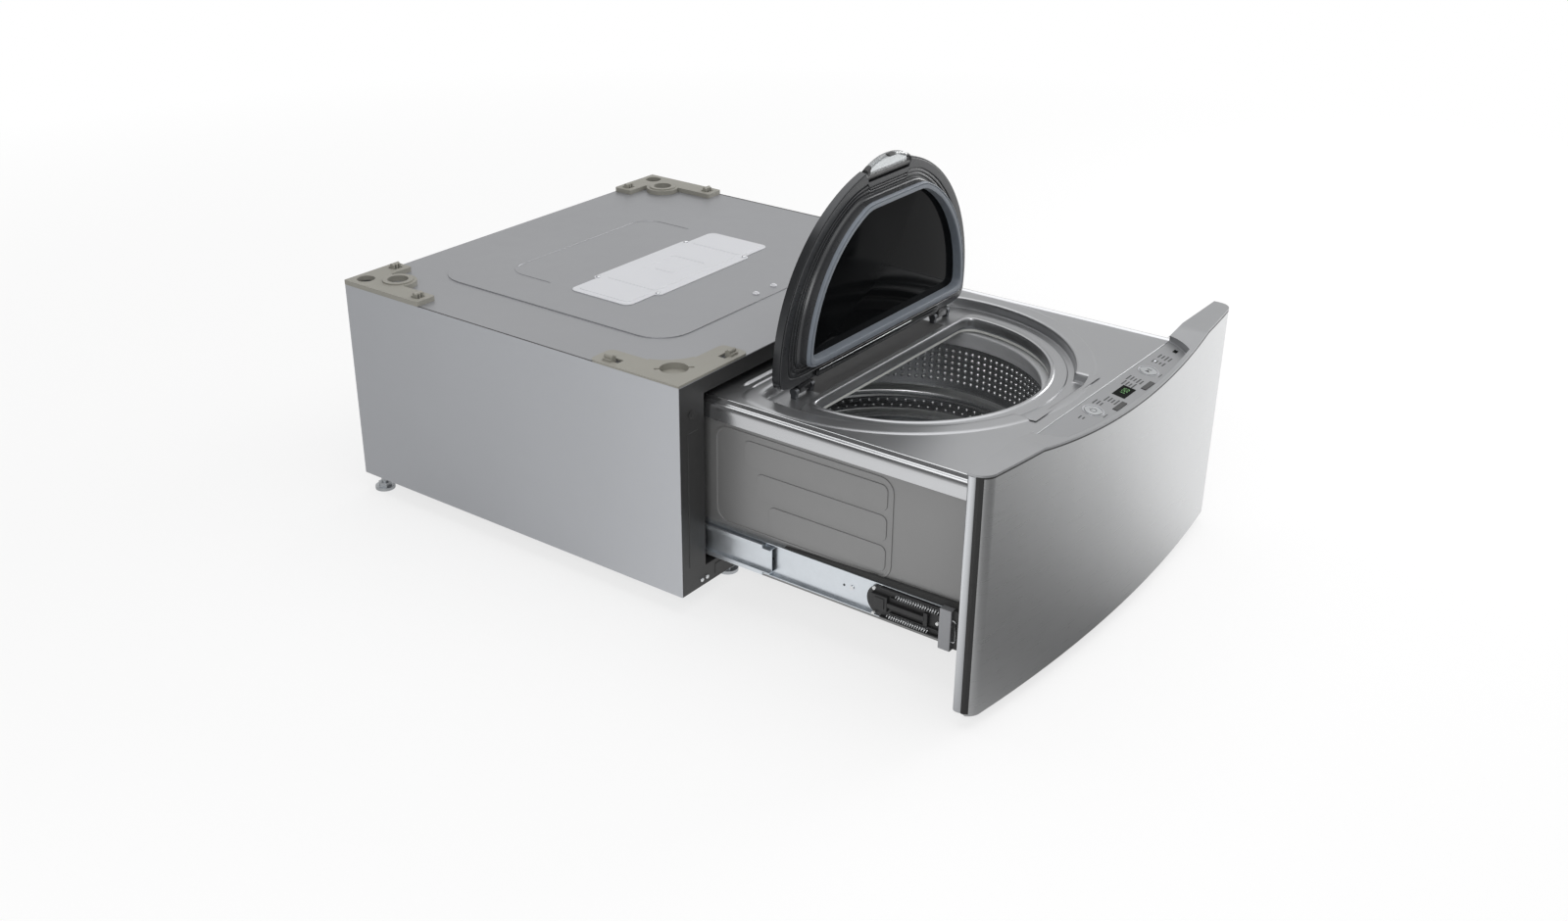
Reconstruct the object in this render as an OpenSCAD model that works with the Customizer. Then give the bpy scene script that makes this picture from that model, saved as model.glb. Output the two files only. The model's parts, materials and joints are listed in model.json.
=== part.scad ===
// Pedestal drawer washer: a small top-loading machine in a pull-out drawer.
// Millimetres, +Z up, front towards -Y, origin at the bottom centre of the opened machine.

/* [Cabinet] */
// Width over the side panels
cab_w = 686; // [640:1:740]
// Depth from the front frame's face to the rear panel
cab_d = 624; // [605:1:700]
// Height of the sheet-metal shell
cab_h = 303; // [296:1:340]
// Thickness of the steel panels
sheet = 1.5; // [1:0.1:2]
// Height of the shell's underside above the floor
foot_h = 28; // [24:1:40]
// Width of the front frame's upright on each side
jamb_w = 50; // [46:1:60]
// Height of the front frame's top rail
rail_top = 23; // [18:1:28]
// Height of the front frame's bottom rail
rail_bottom = 29; // [27:1:36]
// Thickness of the front frame's face
frame_t = 2; // [1.5:0.1:3]
// Depth of the lip that is turned in round the opening
frame_return = 28; // [15:1:40]
// Height of the pressed step on the top panel
emboss_h = 1.5; // [1:0.1:2.5]

/* [Access cover] */
// Width of the cover on the top panel
cover_w = 330; // [280:1:340]
// Depth of the cover's two ends
cover_d = 112; // [96:1:122]
// Distance from the front frame to the cover's middle
cover_y = 294; // [280:1:310]
// Thickness of the cover
cover_t = 1.2; // [1:0.1:2]

/* [Corner plates] */
// Height of the rear corner plates' seats above the cabinet
plate_h = 9; // [7:0.5:12]
// Thickness of the front corner plates
front_plate_h = 3; // [2.5:0.5:5]
// Depth of the cup under a front foot seat
cup_d = 7; // [5:0.5:8]
// Width of a plate's arms
arm_w = 34; // [28:1:40]
// Radius of the foot seat in the front plates
seat_r = 19; // [16:0.5:21]
// Radius of the foot seat in the rear plates
rear_seat_r = 15; // [12:0.5:17]

/* [Feet] */
// Radius of the foot's disc
foot_r = 15; // [14:0.5:18]
// Radius of the threaded stud
stud_r = 5; // [4:0.5:6]
// Distance from the cabinet's side to a rear foot's axis
rear_foot_inset = 19; // [18:1:26]
// Distance from the cabinet's side to a front foot's axis
front_foot_inset = 136; // [110:1:150]
// Distance from the front frame to a front foot's axis
front_foot_back = 30; // [26:1:40]

/* [Runners] */
// Height of the runner's rails
runner_h = 48; // [44:1:54]
// Height of the rails' underside above the opening's lower edge
runner_lift = 13; // [10:1:18]
// Space across the runner, from the fixed rail to the drawer's side
runner_w = 15.3; // [14:0.1:18]
// Thickness of the rail steel
rail_t = 1.4; // [1:0.1:1.6]
// Distance that the middle rail stands out of the cabinet
middle_out = 104; // [80:1:120]
// Share of the drawer's travel that the middle rail takes
middle_share = 0.65; // [0.6:0.01:0.7]

/* [Drawer] */
// Distance that the drawer is pulled out
drawer_travel = 411; // [380:1:412]
// Gap between the closed front panel and the front frame
panel_gap = 4.5; // [4:0.5:6]
// Length of the drawer behind its front panel
drawer_len = 582; // [570:1:583]
// Clearance between the drawer's top and the top rail
top_clear = 12; // [10.5:0.5:15]
// Thickness of the drawer's top
top_t = 4; // [3:0.5:5]
// Depth of the turned-down side edge of the drawer's top
skirt_h = 24; // [18:1:30]

/* [Front panel] */
// Depth of the panel at its two ends
panel_side = 26; // [24:1:32]
// Bow of the front face at its middle
panel_bow = 25; // [20:1:30]
// Rounding of the panel's two ends
corner_r = 20; // [14:1:22]
// Depth of the dip in the panel's top edge
dip_h = 20; // [14:1:22]
// Half width of the dip
dip_x = 235; // [210:1:260]
// Distance that the panel reaches below the shell
panel_drop = 9; // [5:1:14]
// Thickness of the outer skin
skin_t = 2.5; // [2:0.1:3]
// Depth of the control recess at its back edge
recess_h = 14; // [12:1:16]
// Slope of the control recess towards the user
tilt = 9; // [6:0.5:10]
// Half width of the control recess along the back edge
recess_x = 196; // [180:1:215]
// Width of the rim in front of the control recess
lip_w = 6; // [5.5:0.5:8]

/* [Mouth and lid] */
// Distance from the panel's back to the middle of the drum
drum_y = 307; // [300:1:315]
// Radius of the D-shaped mouth
mouth_r = 197; // [188:0.5:199]
// Distance that the mouth's centre lies in front of the drum's axis
mouth_fore = 10; // [4:1:12]
// Depth of the recess that the lid closes into
recess_d = 13; // [12.5:0.5:14]
// Radius of the lid
lid_r = 228; // [225:0.5:230]
// Gap between the lid and the edge of its recess
lid_gap = 12; // [10:0.5:14]
// Distance from the hinge's axis to the lid's rear edge
lid_setback = 10; // [9:0.5:12]
// Distance from the drum's middle back to the hinge
hinge_back = 40; // [38:1:44]
// Thickness of the lid's frame
lid_t = 12; // [10:0.5:13]
// Depth of the collar that hangs into the mouth
collar_h = 15; // [12:0.5:17]
// Angle that the lid stands open at
lid_open = 88; // [60:1:88]
// Radius of the hinge pins
pin_r = 3; // [2.5:0.1:3.5]

/* [Drum and tub] */
// Outer radius of the drum
drum_r = 208; // [204:0.5:212]
// Outer radius of the tub
tub_r = 234; // [231:0.5:238]
// Wall of the tub
tub_wall = 3.5; // [3:0.1:4]
// Radius of the pulsator
pulsator_r = 165; // [140:1:180]
// Radius of the drum's hollow shaft
shaft_r = 16; // [15:0.5:18]
// Radius of the pulsator's shaft
inner_shaft_r = 8; // [7:0.5:9]
// Radial clearance of a shaft in its bore
bore_gap = 0.05; // [0.03:0.01:0.08]

/* [Control panel] */
// Radius of the round keys
round_key_r = 11; // [9:0.5:12]
// Length of the oblong keys
key_w = 28; // [22:1:30]
// Depth of the oblong keys
key_d = 7; // [6:0.5:8]
// Distance that a key travels
key_travel = 1.2; // [0.8:0.1:1.5]
// Width of the display
display_w = 34; // [28:1:38]
// Depth of the display
display_d = 18; // [14:1:20]

/* [Hidden] */
$fn = 64;

run_gap = 0.3;                       // clearance between parts that slide past each other
cut = 1;                             // how far a cut runs past a face

half_w = cab_w / 2;
overall = cab_d + panel_gap + drawer_travel + panel_side + panel_bow;
cab_back = overall / 2;
cab_front = cab_back - cab_d;
cab_base = foot_h;
cab_top = foot_h + cab_h;
in_w = half_w - sheet;               // half width inside the side panels
in_back = cab_back - sheet;
open_x = half_w - jamb_w;
open_z0 = cab_base + rail_bottom;
open_z1 = cab_top - rail_top;

panel_back = cab_front - panel_gap - drawer_travel;
panel_edge = panel_back - panel_side;
panel_apex = panel_edge - panel_bow;
panel_top = cab_top + plate_h;
panel_low = cab_base - panel_drop;
bow_r = (half_w * half_w + panel_bow * panel_bow) / (2 * panel_bow);
bow_cy = panel_apex + bow_r;
dip_r = (dip_x * dip_x + dip_h * dip_h) / (2 * dip_h);
trim_w = 12;                         // the bright strips on the front panel's ends
cap_t = 3.5;                         // thickness of the cap on the front panel
cap_z = panel_top - cap_t;
ctrl_z = panel_top - recess_h;       // surface of the control panel at its back edge
ctrl_t = 3;
liner_top = ctrl_z - 26;
ctrl_y = -26;                        // middle line of the keys, from the recess's back edge

rail_x = open_x - 1;                 // outer face of the fixed rails
side_x = rail_x - runner_w;          // outer face of the drawer's sides
runner_z0 = open_z0 + runner_lift;
runner_z1 = runner_z0 + runner_h;
rail_front = cab_front + 52;
rail_len = cab_d - 84;
middle_front = cab_front - middle_out;
middle_back = rail_front + rail_len - middle_share * drawer_travel;
middle_x0 = side_x + rail_t + run_gap;   // nearest the drawer
middle_x1 = rail_x - rail_t - run_gap;   // nearest the cabinet
block_front = panel_back + 54;
block_len = 110;
end_cap_front = panel_back + 30;

drawer_back = panel_back + drawer_len;
drawer_z0 = open_z0 + 5;
drawer_z1 = open_z1 - top_clear;
drawer_x = open_x - 6;
top_under = drawer_z1 - top_t;
wall_top = top_under - 2;            // upper edge of the drawer's sides and rear

drum_cy = panel_back + drum_y;
recess_z = drawer_z1 - recess_d;     // floor of the lid's recess
recess_r = lid_r + lid_gap;
hinge_y = drum_cy + hinge_back;
hinge_z = recess_z + 9;
mouth_cy = drum_cy - mouth_fore;
mouth_rear = drum_cy + 8;
mouth_chord = mouth_cy - mouth_r + 3;
rim_z = hinge_z - 5.5;               // top of the raised rim round the mouth
neck_z = recess_z - 9;               // lower end of the mouth's neck
ring_w = 22;                         // width of the rim round the mouth
ring_rear = 9;                       // width of the rim along its straight side
bay_x = 82;                          // bay in front of the recess, for the latch and the fingers
bay_y = drum_cy - recess_r - 12;
knuckle_x0 = 158;
knuckle_x1 = 186;
knuckle_r = pin_r + 2.2;

tub_top = neck_z - 8;
tub_floor = drawer_z0 + 34;
tub_floor_t = 4;
drum_floor = tub_floor + 20;
ring_top = tub_top - 3;
ring_h = 13;
drum_top = ring_top - ring_h;
housing_r = shaft_r + 18;
rod_ring_r = tub_r + 28;
rod_angle = 35;
rod_r = 4;
stator_z = tub_floor - 22;
rotor_z = tub_floor - 28;
rotor_r = 112;

// ---- helpers ----

module block(a, b) translate(a) cube(b - a);

module both_sides() { children(); mirror([1, 0, 0]) children(); }

module on_left() mirror([1, 0, 0]) children();

function arc(c, r, a0, a1, n) = [for (i = [0:n]) let (a = a0 + (a1 - a0) * i / n)
    [c[0] + r * cos(a), c[1] + r * sin(a)]];

function inner_arc(c, r, a0, a1, n) = [for (i = [1:n - 1]) let (a = a0 + (a1 - a0) * i / n)
    [c[0] + r * cos(a), c[1] + r * sin(a)]];

// Rectangle with rounded corners, from corner a to corner b
module rounded(a, b, r) polygon(concat(
    arc([b[0] - r, b[1] - r], r, 0, 90, 6), arc([a[0] + r, b[1] - r], r, 90, 180, 6),
    arc([a[0] + r, a[1] + r], r, 180, 270, 6), arc([b[0] - r, a[1] + r], r, 270, 360, 6)));

module slab(z0, z1) translate([0, 0, z0]) linear_extrude(z1 - z0) children();

// A D: the round side faces the front, the straight side lies at y = rear
function d_points(cy, r, rear, corner) =
    let (dy = rear - corner - cy,
         xc = sqrt(pow(r - corner, 2) - dy * dy),
         phi = atan2(dy, xc))
    concat(arc([xc, rear - corner], corner, 90, phi, 8),
           inner_arc([0, cy], r, phi, -180 - phi, 96),
           arc([-xc, rear - corner], corner, 180 - phi, 90, 8));

module d_flat(r, rear, corner) polygon(d_points(drum_cy, r, rear, corner));

// The D of the mouth, with its short flat front, grown by g
module mouth_flat(g) intersection() {
    polygon(d_points(mouth_cy, mouth_r + g, mouth_rear + g, 22 + g / 2));
    translate([-cab_w, mouth_chord - g]) square([2 * cab_w, cab_d]);
}

// Outline of the raised rim round the mouth
module ring_flat() intersection() {
    polygon(d_points(mouth_cy, mouth_r + ring_w + 2, mouth_rear + ring_rear, 26));
    translate([-cab_w, mouth_chord - ring_w]) square([2 * cab_w, cab_d]);
}

// Outline of the front panel seen from above, drawn in by the given distance
module panel_flat(inset) {
    r = bow_r - inset;
    xe = half_w - inset;
    rc = corner_r - inset;
    yc = bow_cy - sqrt(pow(r - rc, 2) - pow(xe - rc, 2));
    phi = atan2(yc - bow_cy, xe - rc);
    polygon(concat([[-xe, panel_back], [xe, panel_back]],
        arc([xe - rc, yc], rc, 0, phi, 12),
        inner_arc([0, bow_cy], r, phi, -180 - phi, 48),
        arc([rc - xe, yc], rc, -180 - phi, -180, 12)));
}

// Outline that the control panel lies in, grown by g
module recess_flat(g) intersection() {
    panel_flat(lip_w - g);
    union() {
        translate([-recess_x + 76, panel_apex - cut]) square([2 * (recess_x - 76), cab_d]);
        both_sides() translate([recess_x - 76, panel_back + 17]) circle(r = 77 + g);
    }
}

// Space below the front panel's dipped top, lowered by the given distance
module under_dip(drop) translate([0, panel_back + cut, 0]) rotate([90, 0, 0])
    linear_extrude(panel_side + panel_bow + 2 * cut) difference() {
        translate([-half_w - cut, 0]) square([cab_w + 2 * cut, panel_top - drop]);
        translate([0, panel_top - dip_h + dip_r - drop]) circle(r = dip_r, $fn = 720);
    }

// Frame of the sloping control surface: x, forward distance and height
module sloped() translate([0, panel_back, ctrl_z]) rotate([tilt, 0, 0]) children();

// ---- cabinet ----

module side_panel() {
    block([in_w, cab_front, cab_base], [half_w, cab_back, cab_top]);
    // flange under the top panel
    block([in_w - 14, cab_front + frame_return + 4, cab_top - 2 * sheet],
          [in_w, in_back, cab_top - sheet]);
    // bracket that carries the fixed rail
    for (z = [runner_z0 - 4, runner_z1 + 4 - sheet])
        block([rail_x, rail_front, z], [in_w, rail_front + rail_len, z + sheet]);
    block([rail_x, rail_front, runner_z0 - 4], [rail_x + sheet, rail_front + rail_len, runner_z1 + 4]);
}

module side_panel_left() color("#a6a8ac") on_left() side_panel();
module side_panel_right() color("#a6a8ac") side_panel();

hole_w = 100;                        // service hole under the access cover
hole_d = 60;

module top_panel() color("#98999c") {
    step_x = half_w - 105;
    step_y0 = cab_front + 108;
    step_y1 = cab_back - 72;
    difference() {
        block([-in_w, cab_front, cab_top - sheet], [in_w, in_back, cab_top]);
        slab(cab_top - sheet - cut, cab_top + cut)
            rounded([-step_x + 2, step_y0 + 2], [step_x - 2, step_y1 - 2], 48);
        // holes for the cups of the front foot seats
        both_sides() translate([half_w - front_seat[0], cab_front + front_seat[1], cab_top - sheet - cut])
            cylinder(r = seat_r + cup_wall + cup_gap, h = 2 * sheet);
    }
    difference() {
        slab(cab_top - sheet, cab_top + emboss_h) rounded([-step_x, step_y0], [step_x, step_y1], 50);
        slab(cab_top - sheet - cut, cab_top + emboss_h - sheet)
            rounded([-step_x + 2, step_y0 + 2], [step_x - 2, step_y1 - 2], 48);
        slab(cab_top - cut, cab_top + emboss_h + cut)
            rounded([-hole_w / 2, cab_front + cover_y - hole_d / 2],
                    [hole_w / 2, cab_front + cover_y + hole_d / 2], 10);
    }
    // low ridge round the rear of the pressed step
    slab(cab_top + emboss_h - cut / 2, cab_top + emboss_h + 0.8) intersection() {
        difference() {
            rounded([-160, cab_front + 150], [160, step_y1 - 68], 36);
            rounded([-157, cab_front + 153], [157, step_y1 - 71], 33);
        }
        translate([-cab_w, step_y1 - 160]) square([2 * cab_w, cab_d]);
    }
}

pocket_x = (open_x + in_w) / 2;      // middle of the hose pockets, beside the drawer
pocket_w = jamb_w - 10;
pocket_d = 32;
pocket_z0 = runner_z1 + 30;
pocket_z1 = pocket_z0 + 100;
valve_z = [pocket_z0 + 28, pocket_z0 + 72];
drain_z = pocket_z0 + 28;
cord_z = pocket_z0 + 74;

module rear_panel() color("#a9abae") {
    difference() {
        block([-in_w, in_back, cab_base], [in_w, cab_back, cab_top]);
        both_sides() block([pocket_x - pocket_w / 2 + sheet, in_back - cut, pocket_z0 + sheet],
                           [pocket_x + pocket_w / 2 - sheet, cab_back + cut, pocket_z1 - sheet]);
    }
    both_sides() difference() {
        block([pocket_x - pocket_w / 2, cab_back - pocket_d, pocket_z0],
              [pocket_x + pocket_w / 2, in_back, pocket_z1]);
        block([pocket_x - pocket_w / 2 + sheet, cab_back - pocket_d + sheet, pocket_z0 + sheet],
              [pocket_x + pocket_w / 2 - sheet, cab_back, pocket_z1 - sheet]);
    }
    // pressed stiffening ribs
    for (x = [-180, 0, 180]) slab(cab_base + 60, cab_top - 60)
        rounded([x - 8, in_back - 2], [x + 8, in_back + sheet / 2], 1);
}

front_foot = [half_w - front_foot_inset, cab_front + front_foot_back];
rear_foot = [half_w - rear_foot_inset, cab_back - rear_foot_inset];
boss_h = 26;
pan_t = 2;

module base_pan() color("#8e9093") difference() {
    union() {
        block([-in_w, cab_front + frame_t, cab_base], [in_w, in_back, cab_base + pan_t]);
        both_sides() block([in_w - pan_t, cab_front + frame_t, cab_base],
                           [in_w, in_back, cab_base + 24]);
        block([-in_w, in_back - pan_t, cab_base], [in_w, in_back, cab_base + 24]);
        block([-in_w, cab_front + frame_t, cab_base], [in_w, cab_front + frame_t + pan_t, cab_base + 24]);
        both_sides() for (p = [front_foot, rear_foot]) translate([p[0], p[1], cab_base])
            cylinder(r = 11, h = boss_h);
        for (y = [cab_front + cab_d / 3, cab_front + 2 * cab_d / 3])
            block([-in_w, y - 20, cab_base], [in_w, y + 20, cab_base + 10]);
    }
    both_sides() for (p = [front_foot, rear_foot]) translate([p[0], p[1], cab_base - cut])
        cylinder(r = stud_r + bore_gap, h = boss_h + 2 * cut);
}

module front_frame() color("#3a3a3a") {
    difference() {
        union() {
            block([-in_w, cab_front, cab_base], [in_w, cab_front + frame_t, cab_top - sheet]);
            block([-open_x - frame_t, cab_front, open_z0 - frame_t],
                  [open_x + frame_t, cab_front + frame_return, open_z1 + frame_t]);
        }
        block([-open_x, cab_front - cut, open_z0], [open_x, cab_front + frame_return + cut, open_z1]);
    }
    // shallow pressed panels on the uprights and the bottom rail
    both_sides() block([open_x + 14, cab_front - 0.8, open_z0 + 10],
                       [open_x + jamb_w - 16, cab_front, open_z1 - 46]);
    block([-open_x + 20, cab_front - 0.8, cab_base + 7], [open_x - 20, cab_front, open_z0 - 7]);
}

bumper_x = half_w - 25;
bumper_z = cab_top - 44;

module frame_bumpers() color("#1c1c1c") both_sides()
    translate([bumper_x, cab_front, bumper_z]) rotate([90, 0, 0]) {
        cylinder(r = 6, h = 1.5);
        cylinder(r = 4.5, h = panel_gap - 0.5);
    }

cover_z = cab_top + emboss_h;
cover_tab = 8;

module access_cover() color("#e6e7e9") translate([0, cab_front + cover_y, 0]) {
    slab(cover_z, cover_z + cover_t) {
        rounded([-cover_w / 2, -cover_d / 2], [cover_w / 2, cover_d / 2], 12);
        rounded([-cover_w / 2 + 58, -cover_d / 2 - cover_tab],
                [cover_w / 2 - 58, cover_d / 2 + cover_tab], 8);
    }
    slab(cover_z + cover_t / 2, cover_z + cover_t + 0.7) {
        both_sides() rounded([cover_w / 2 - 62, -cover_d / 2 + 8], [cover_w / 2 - 10, cover_d / 2 - 8], 8);
        difference() {
            rounded([-cover_w / 2 + 70, -cover_d / 2 + 8], [cover_w / 2 - 70, cover_d / 2 - 8], 8);
            rounded([-40, -32], [40, 32], 6);
        }
        rounded([-22, -18], [22, 18], 6);
    }
}

module screw_head(r) { cylinder(r = r, h = 1.2); translate([0, 0, 1.2]) cylinder(r1 = r, r2 = r * 0.7, h = 0.8); }

module cabinet_screws() color("#c9c9c9") {
    for (sy = [-1, 1]) both_sides() translate([cover_w / 2 - 64, cab_front + cover_y
        + sy * (cover_d / 2 + 1), cover_z + cover_t]) screw_head(3.6);
    both_sides() for (x = [open_x - 2, open_x + 9])
        translate([x, cab_front, cab_base + 10]) rotate([90, 0, 0]) screw_head(3.2);
}

module top_clips() color("#f2f2f2") for (x = [-14, 28])
    translate([x, cab_front + 127, cab_top + emboss_h]) {
        cylinder(r = 5, h = 1.5);
        translate([0, 0, 1.5]) cylinder(r1 = 3.6, r2 = 2.4, h = 2);
    }

// Arms of a rear plate; local corner at the origin
module plate_arms(len_x, len_y) {
    rounded([0, 0], [len_x, arm_w], 3);
    rounded([0, 0], [arm_w, len_y], 3);
}

module plate_clip(h) {
    for (x = [-7, -1.5, 4]) block([x, -4, 0], [x + 3, 4, h + 7]);
    translate([-7, -1, h + 6]) rotate([0, 90, 0]) cylinder(r = 3, h = 14);
    block([-7, -7, h - 2], [7, -3, h + 4]);
}

front_arm_x = 145;
front_arm_y = 150;
front_arm_w = arm_w + 10;
rear_arm_x = 98;
rear_arm_y = 152;
front_seat = [43, 42.5];
front_clips = [front_arm_x - 21, front_arm_y - 24];   // places of the clips along the arms
clip_edge = 14;                      // distance of a clip from the plate's outer edge
cup_wall = 1.5;
cup_gap = 0.7;                       // clearance of the cup in the top panel
rear_seat = [46, 62];
rear_hole = [22, 21];

// Draws its children at the clip on the arm along x, and again on the arm along y
module on_front_arms() {
    translate([front_clips[0], clip_edge, 0]) children();
    mirror([1, -1, 0]) translate([front_clips[1], clip_edge, 0]) children();
}

module corner_plate_front() {
    difference() {
        union() {
            slab(0, front_plate_h) {
                rounded([0, 0], [front_arm_x, front_arm_w], 9);
                rounded([0, 0], [front_arm_w, front_arm_y], 9);
                square(front_arm_w);
                difference() {
                    square(front_arm_w + 44);
                    translate([front_arm_w + 64, front_arm_w + 64]) circle(r = 64);
                }
            }
            translate([front_seat[0], front_seat[1], -cup_d])
                cylinder(r = seat_r + cup_wall, h = cup_d + cut);
        }
        translate([front_seat[0], front_seat[1], cup_wall - cup_d]) cylinder(r = seat_r, h = 2 * cup_d);
        slab(front_plate_h / 2, front_plate_h + cut) seat_slot();
        on_front_arms() block([-16, -3, -cut], [6, 9, front_plate_h + cut]);
    }
    on_front_arms() plate_clip(front_plate_h - 1);
}

// Shallow slot across the seat, at right angles to the corner's diagonal
module seat_slot() translate([front_seat[0], front_seat[1]]) rotate([0, 0, -45])
    translate([-seat_r - 7, -2.5]) square([2 * seat_r + 14, 5]);

module corner_plate_rear() {
    difference() {
        union() {
            slab(0, plate_h - 2) plate_arms(rear_arm_x, rear_arm_y);
            slab(0, plate_h - 2) square(rear_seat[0] + 12);
            translate([rear_seat[0], rear_seat[1], 0]) cylinder(r = rear_seat_r + 12, h = plate_h - 2);
            translate([rear_seat[0], rear_seat[1], 0]) cylinder(r = rear_seat_r + 7, h = plate_h);
        }
        translate([rear_seat[0], rear_seat[1], -cut]) cylinder(r = rear_seat_r, h = plate_h + 2 * cut);
        translate([rear_hole[0], rear_hole[1], -cut]) cylinder(r = 13, h = plate_h + 2 * cut);
        for (p = [[rear_arm_x - 16, 17], [17, rear_arm_y - 16]])
            block([p[0] - 8, p[1] - 7, -cut], [p[0] + 8, p[1] + 7, plate_h + cut]);
    }
    for (p = [[rear_arm_x - 16, 17], [17, rear_arm_y - 16]]) translate([p[0], p[1], 0]) plate_clip(plate_h - 4);
}

module corner_plates_front() color("#b5b3ac") both_sides()
    translate([half_w, cab_front, cab_top]) mirror([1, 0, 0]) corner_plate_front();

module corner_plates_rear() color("#b5b3ac") both_sides()
    translate([half_w, cab_back, cab_top]) mirror([0, 1, 0]) mirror([1, 0, 0]) corner_plate_rear();

module inlet_valves() color("#dcdcd4") for (z = valve_z) {
    // body inside the cabinet, thread in the pocket
    translate([pocket_x, cab_back - pocket_d, z]) rotate([90, 0, 0]) cylinder(r = 14, h = 38);
    translate([pocket_x, cab_back - pocket_d + sheet, z]) rotate([-90, 0, 0]) {
        cylinder(r = 16, h = 4);
        difference() {
            cylinder(r = 13.2, h = 24);
            translate([0, 0, 8]) cylinder(r = 9, h = 24);
        }
    }
}

module drain_outlet() color("#bfc0c2") on_left() translate([pocket_x, cab_back - pocket_d, drain_z]) {
    rotate([90, 0, 0]) cylinder(r = 12, h = 30);
    translate([0, sheet, 0]) rotate([-90, 0, 0]) difference() {
        union() {
            cylinder(r = 15, h = 3);
            cylinder(r = 11, h = 26);
        }
        translate([0, 0, 5]) cylinder(r = 8.5, h = 24);
    }
}

module power_inlet() color("#222222") on_left() translate([pocket_x, cab_back - pocket_d + sheet, cord_z])
    rotate([-90, 0, 0]) difference() {
        union() {
            cylinder(r = 13, h = 3);
            cylinder(r1 = 10, r2 = 7, h = 16);
        }
        translate([0, 0, 4]) cylinder(r = 4.2, h = 20);
    }

// ---- feet ----

module foot(p) color("#c8c8c8") translate([p[0], p[1], 0]) {
    cylinder(r = foot_r, h = 5);
    translate([0, 0, 5]) cylinder(r = foot_r * 0.68, h = 6, $fn = 6);
    translate([0, 0, 11]) cylinder(r = stud_r, h = cab_base + boss_h - 13);
    translate([0, 0, cab_base - 6 - run_gap]) cylinder(r = stud_r + 4, h = 6, $fn = 6);
}

module foot_front_left() foot([-front_foot[0], front_foot[1]]);
module foot_front_right() foot(front_foot);
module foot_rear_left() foot([-rear_foot[0], rear_foot[1]]);
module foot_rear_right() foot(rear_foot);

// ---- runners ----

// A rail that is open on one side: web at x0..x0+rail_t, edges reaching depth
module channel(x_web, x_edge, y0, y1) {
    lo = min(x_web, x_edge);
    hi = max(x_web, x_edge);
    web_lo = x_web < x_edge ? x_web : x_web - rail_t;
    block([web_lo, y0, runner_z0], [web_lo + rail_t, y1, runner_z1]);
    block([lo, y0, runner_z0], [hi, y1, runner_z0 + rail_t]);
    block([lo, y0, runner_z1 - rail_t], [hi, y1, runner_z1]);
}

module runner_rail() color("#b9bcc0") channel(rail_x, rail_x - 5.8, rail_front, rail_front + rail_len);

module runner_slide() color("#cfd4d8") channel(side_x, side_x + 6.9, block_front, drawer_back);

module runner_middle() color("#aab4bc") {
    race = 5;                        // height of the ball races
    web_x = (middle_x0 + middle_x1) / 2;
    z0 = runner_z0 + rail_t + race;
    z1 = runner_z1 - rail_t - race;
    block([web_x - rail_t / 2, middle_front, z0], [web_x + rail_t / 2, middle_back, z1]);
    for (z = [z0, z1 - rail_t]) block([middle_x0, middle_front, z], [middle_x1, middle_back, z + rail_t]);
    // ball cages in the races
    for (x = [middle_x0, middle_x1 - 3], z = [runner_z0 + rail_t + run_gap, z1])
        block([x, middle_front + 12, z], [x + 3, middle_back - 12, z + race - run_gap]);
}

module runner_rail_left() on_left() runner_rail();
module runner_rail_right() runner_rail();
module runner_slide_left() on_left() runner_slide();
module runner_slide_right() runner_slide();
module runner_middle_left() on_left() runner_middle();
module runner_middle_right() runner_middle();

block_z = (runner_z0 + runner_z1) / 2;
block_h = runner_h - 2 * rail_t - 2;

module soft_close_unit() {
    x0 = side_x + rail_t;
    x1 = middle_x1;
    nose = block_h / 2;
    translate([x0, 0, 0]) rotate([90, 0, 90]) {
        linear_extrude(x1 - x0 - 3) {
            translate([block_front, block_z - block_h / 2]) square([block_len - nose, block_h]);
            translate([block_front + block_len - nose, block_z]) circle(r = nose);
        }
        // raised housing, spring tubes and pins on the outer face
        linear_extrude(x1 - x0 - 1) {
            translate([block_front + 62, block_z - 11]) square([22, 22]);
            translate([block_front + 10, block_z - 3]) square([52, 8]);
        }
        linear_extrude(x1 - x0) for (p = [[9, 0], [block_len - nose - 2, 14], [block_len - nose - 2, -14]])
            translate([block_front + p[0], block_z + p[1]]) circle(r = 3);
    }
    for (z = [-14, 14]) translate([x1 - 4, block_front + 12, block_z + z]) rotate([-90, 0, 0])
        cylinder(r = 3, h = 46);
}

module soft_close_units() color("#1d1d1f") both_sides() soft_close_unit();

module runner_end_cap() {
    block([side_x, end_cap_front, runner_z0 - 7], [rail_x - 0.5, block_front, runner_z1 + 2]);
    // wire loop on the front face
    for (z = [block_z - 16, block_z + 14])
        block([rail_x - 6, end_cap_front - 8, z], [rail_x - 4, end_cap_front, z + 2]);
    block([rail_x - 6, end_cap_front - 10, block_z - 16], [rail_x - 4, end_cap_front - 8, block_z + 16]);
}

module runner_end_caps() color("#77787a") both_sides() runner_end_cap();

// ---- drawer ----

module drawer_edge() rotate([90, 0, 0]) translate([0, 0, -drawer_back]) linear_extrude(drawer_len)
    translate([drawer_x, drawer_z1]) polygon([[-19, 0], [-17, 1.6], [-14, 2.4], [-11, 1.6], [-9, -1.5],
        [-6, -2.6], [-4, -1.4], [-1.5, -1.2], [0, -3], [0, -skirt_h], [-1.5, -skirt_h],
        [-1.5, wall_top - drawer_z1], [-19, wall_top - drawer_z1]]);

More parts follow.
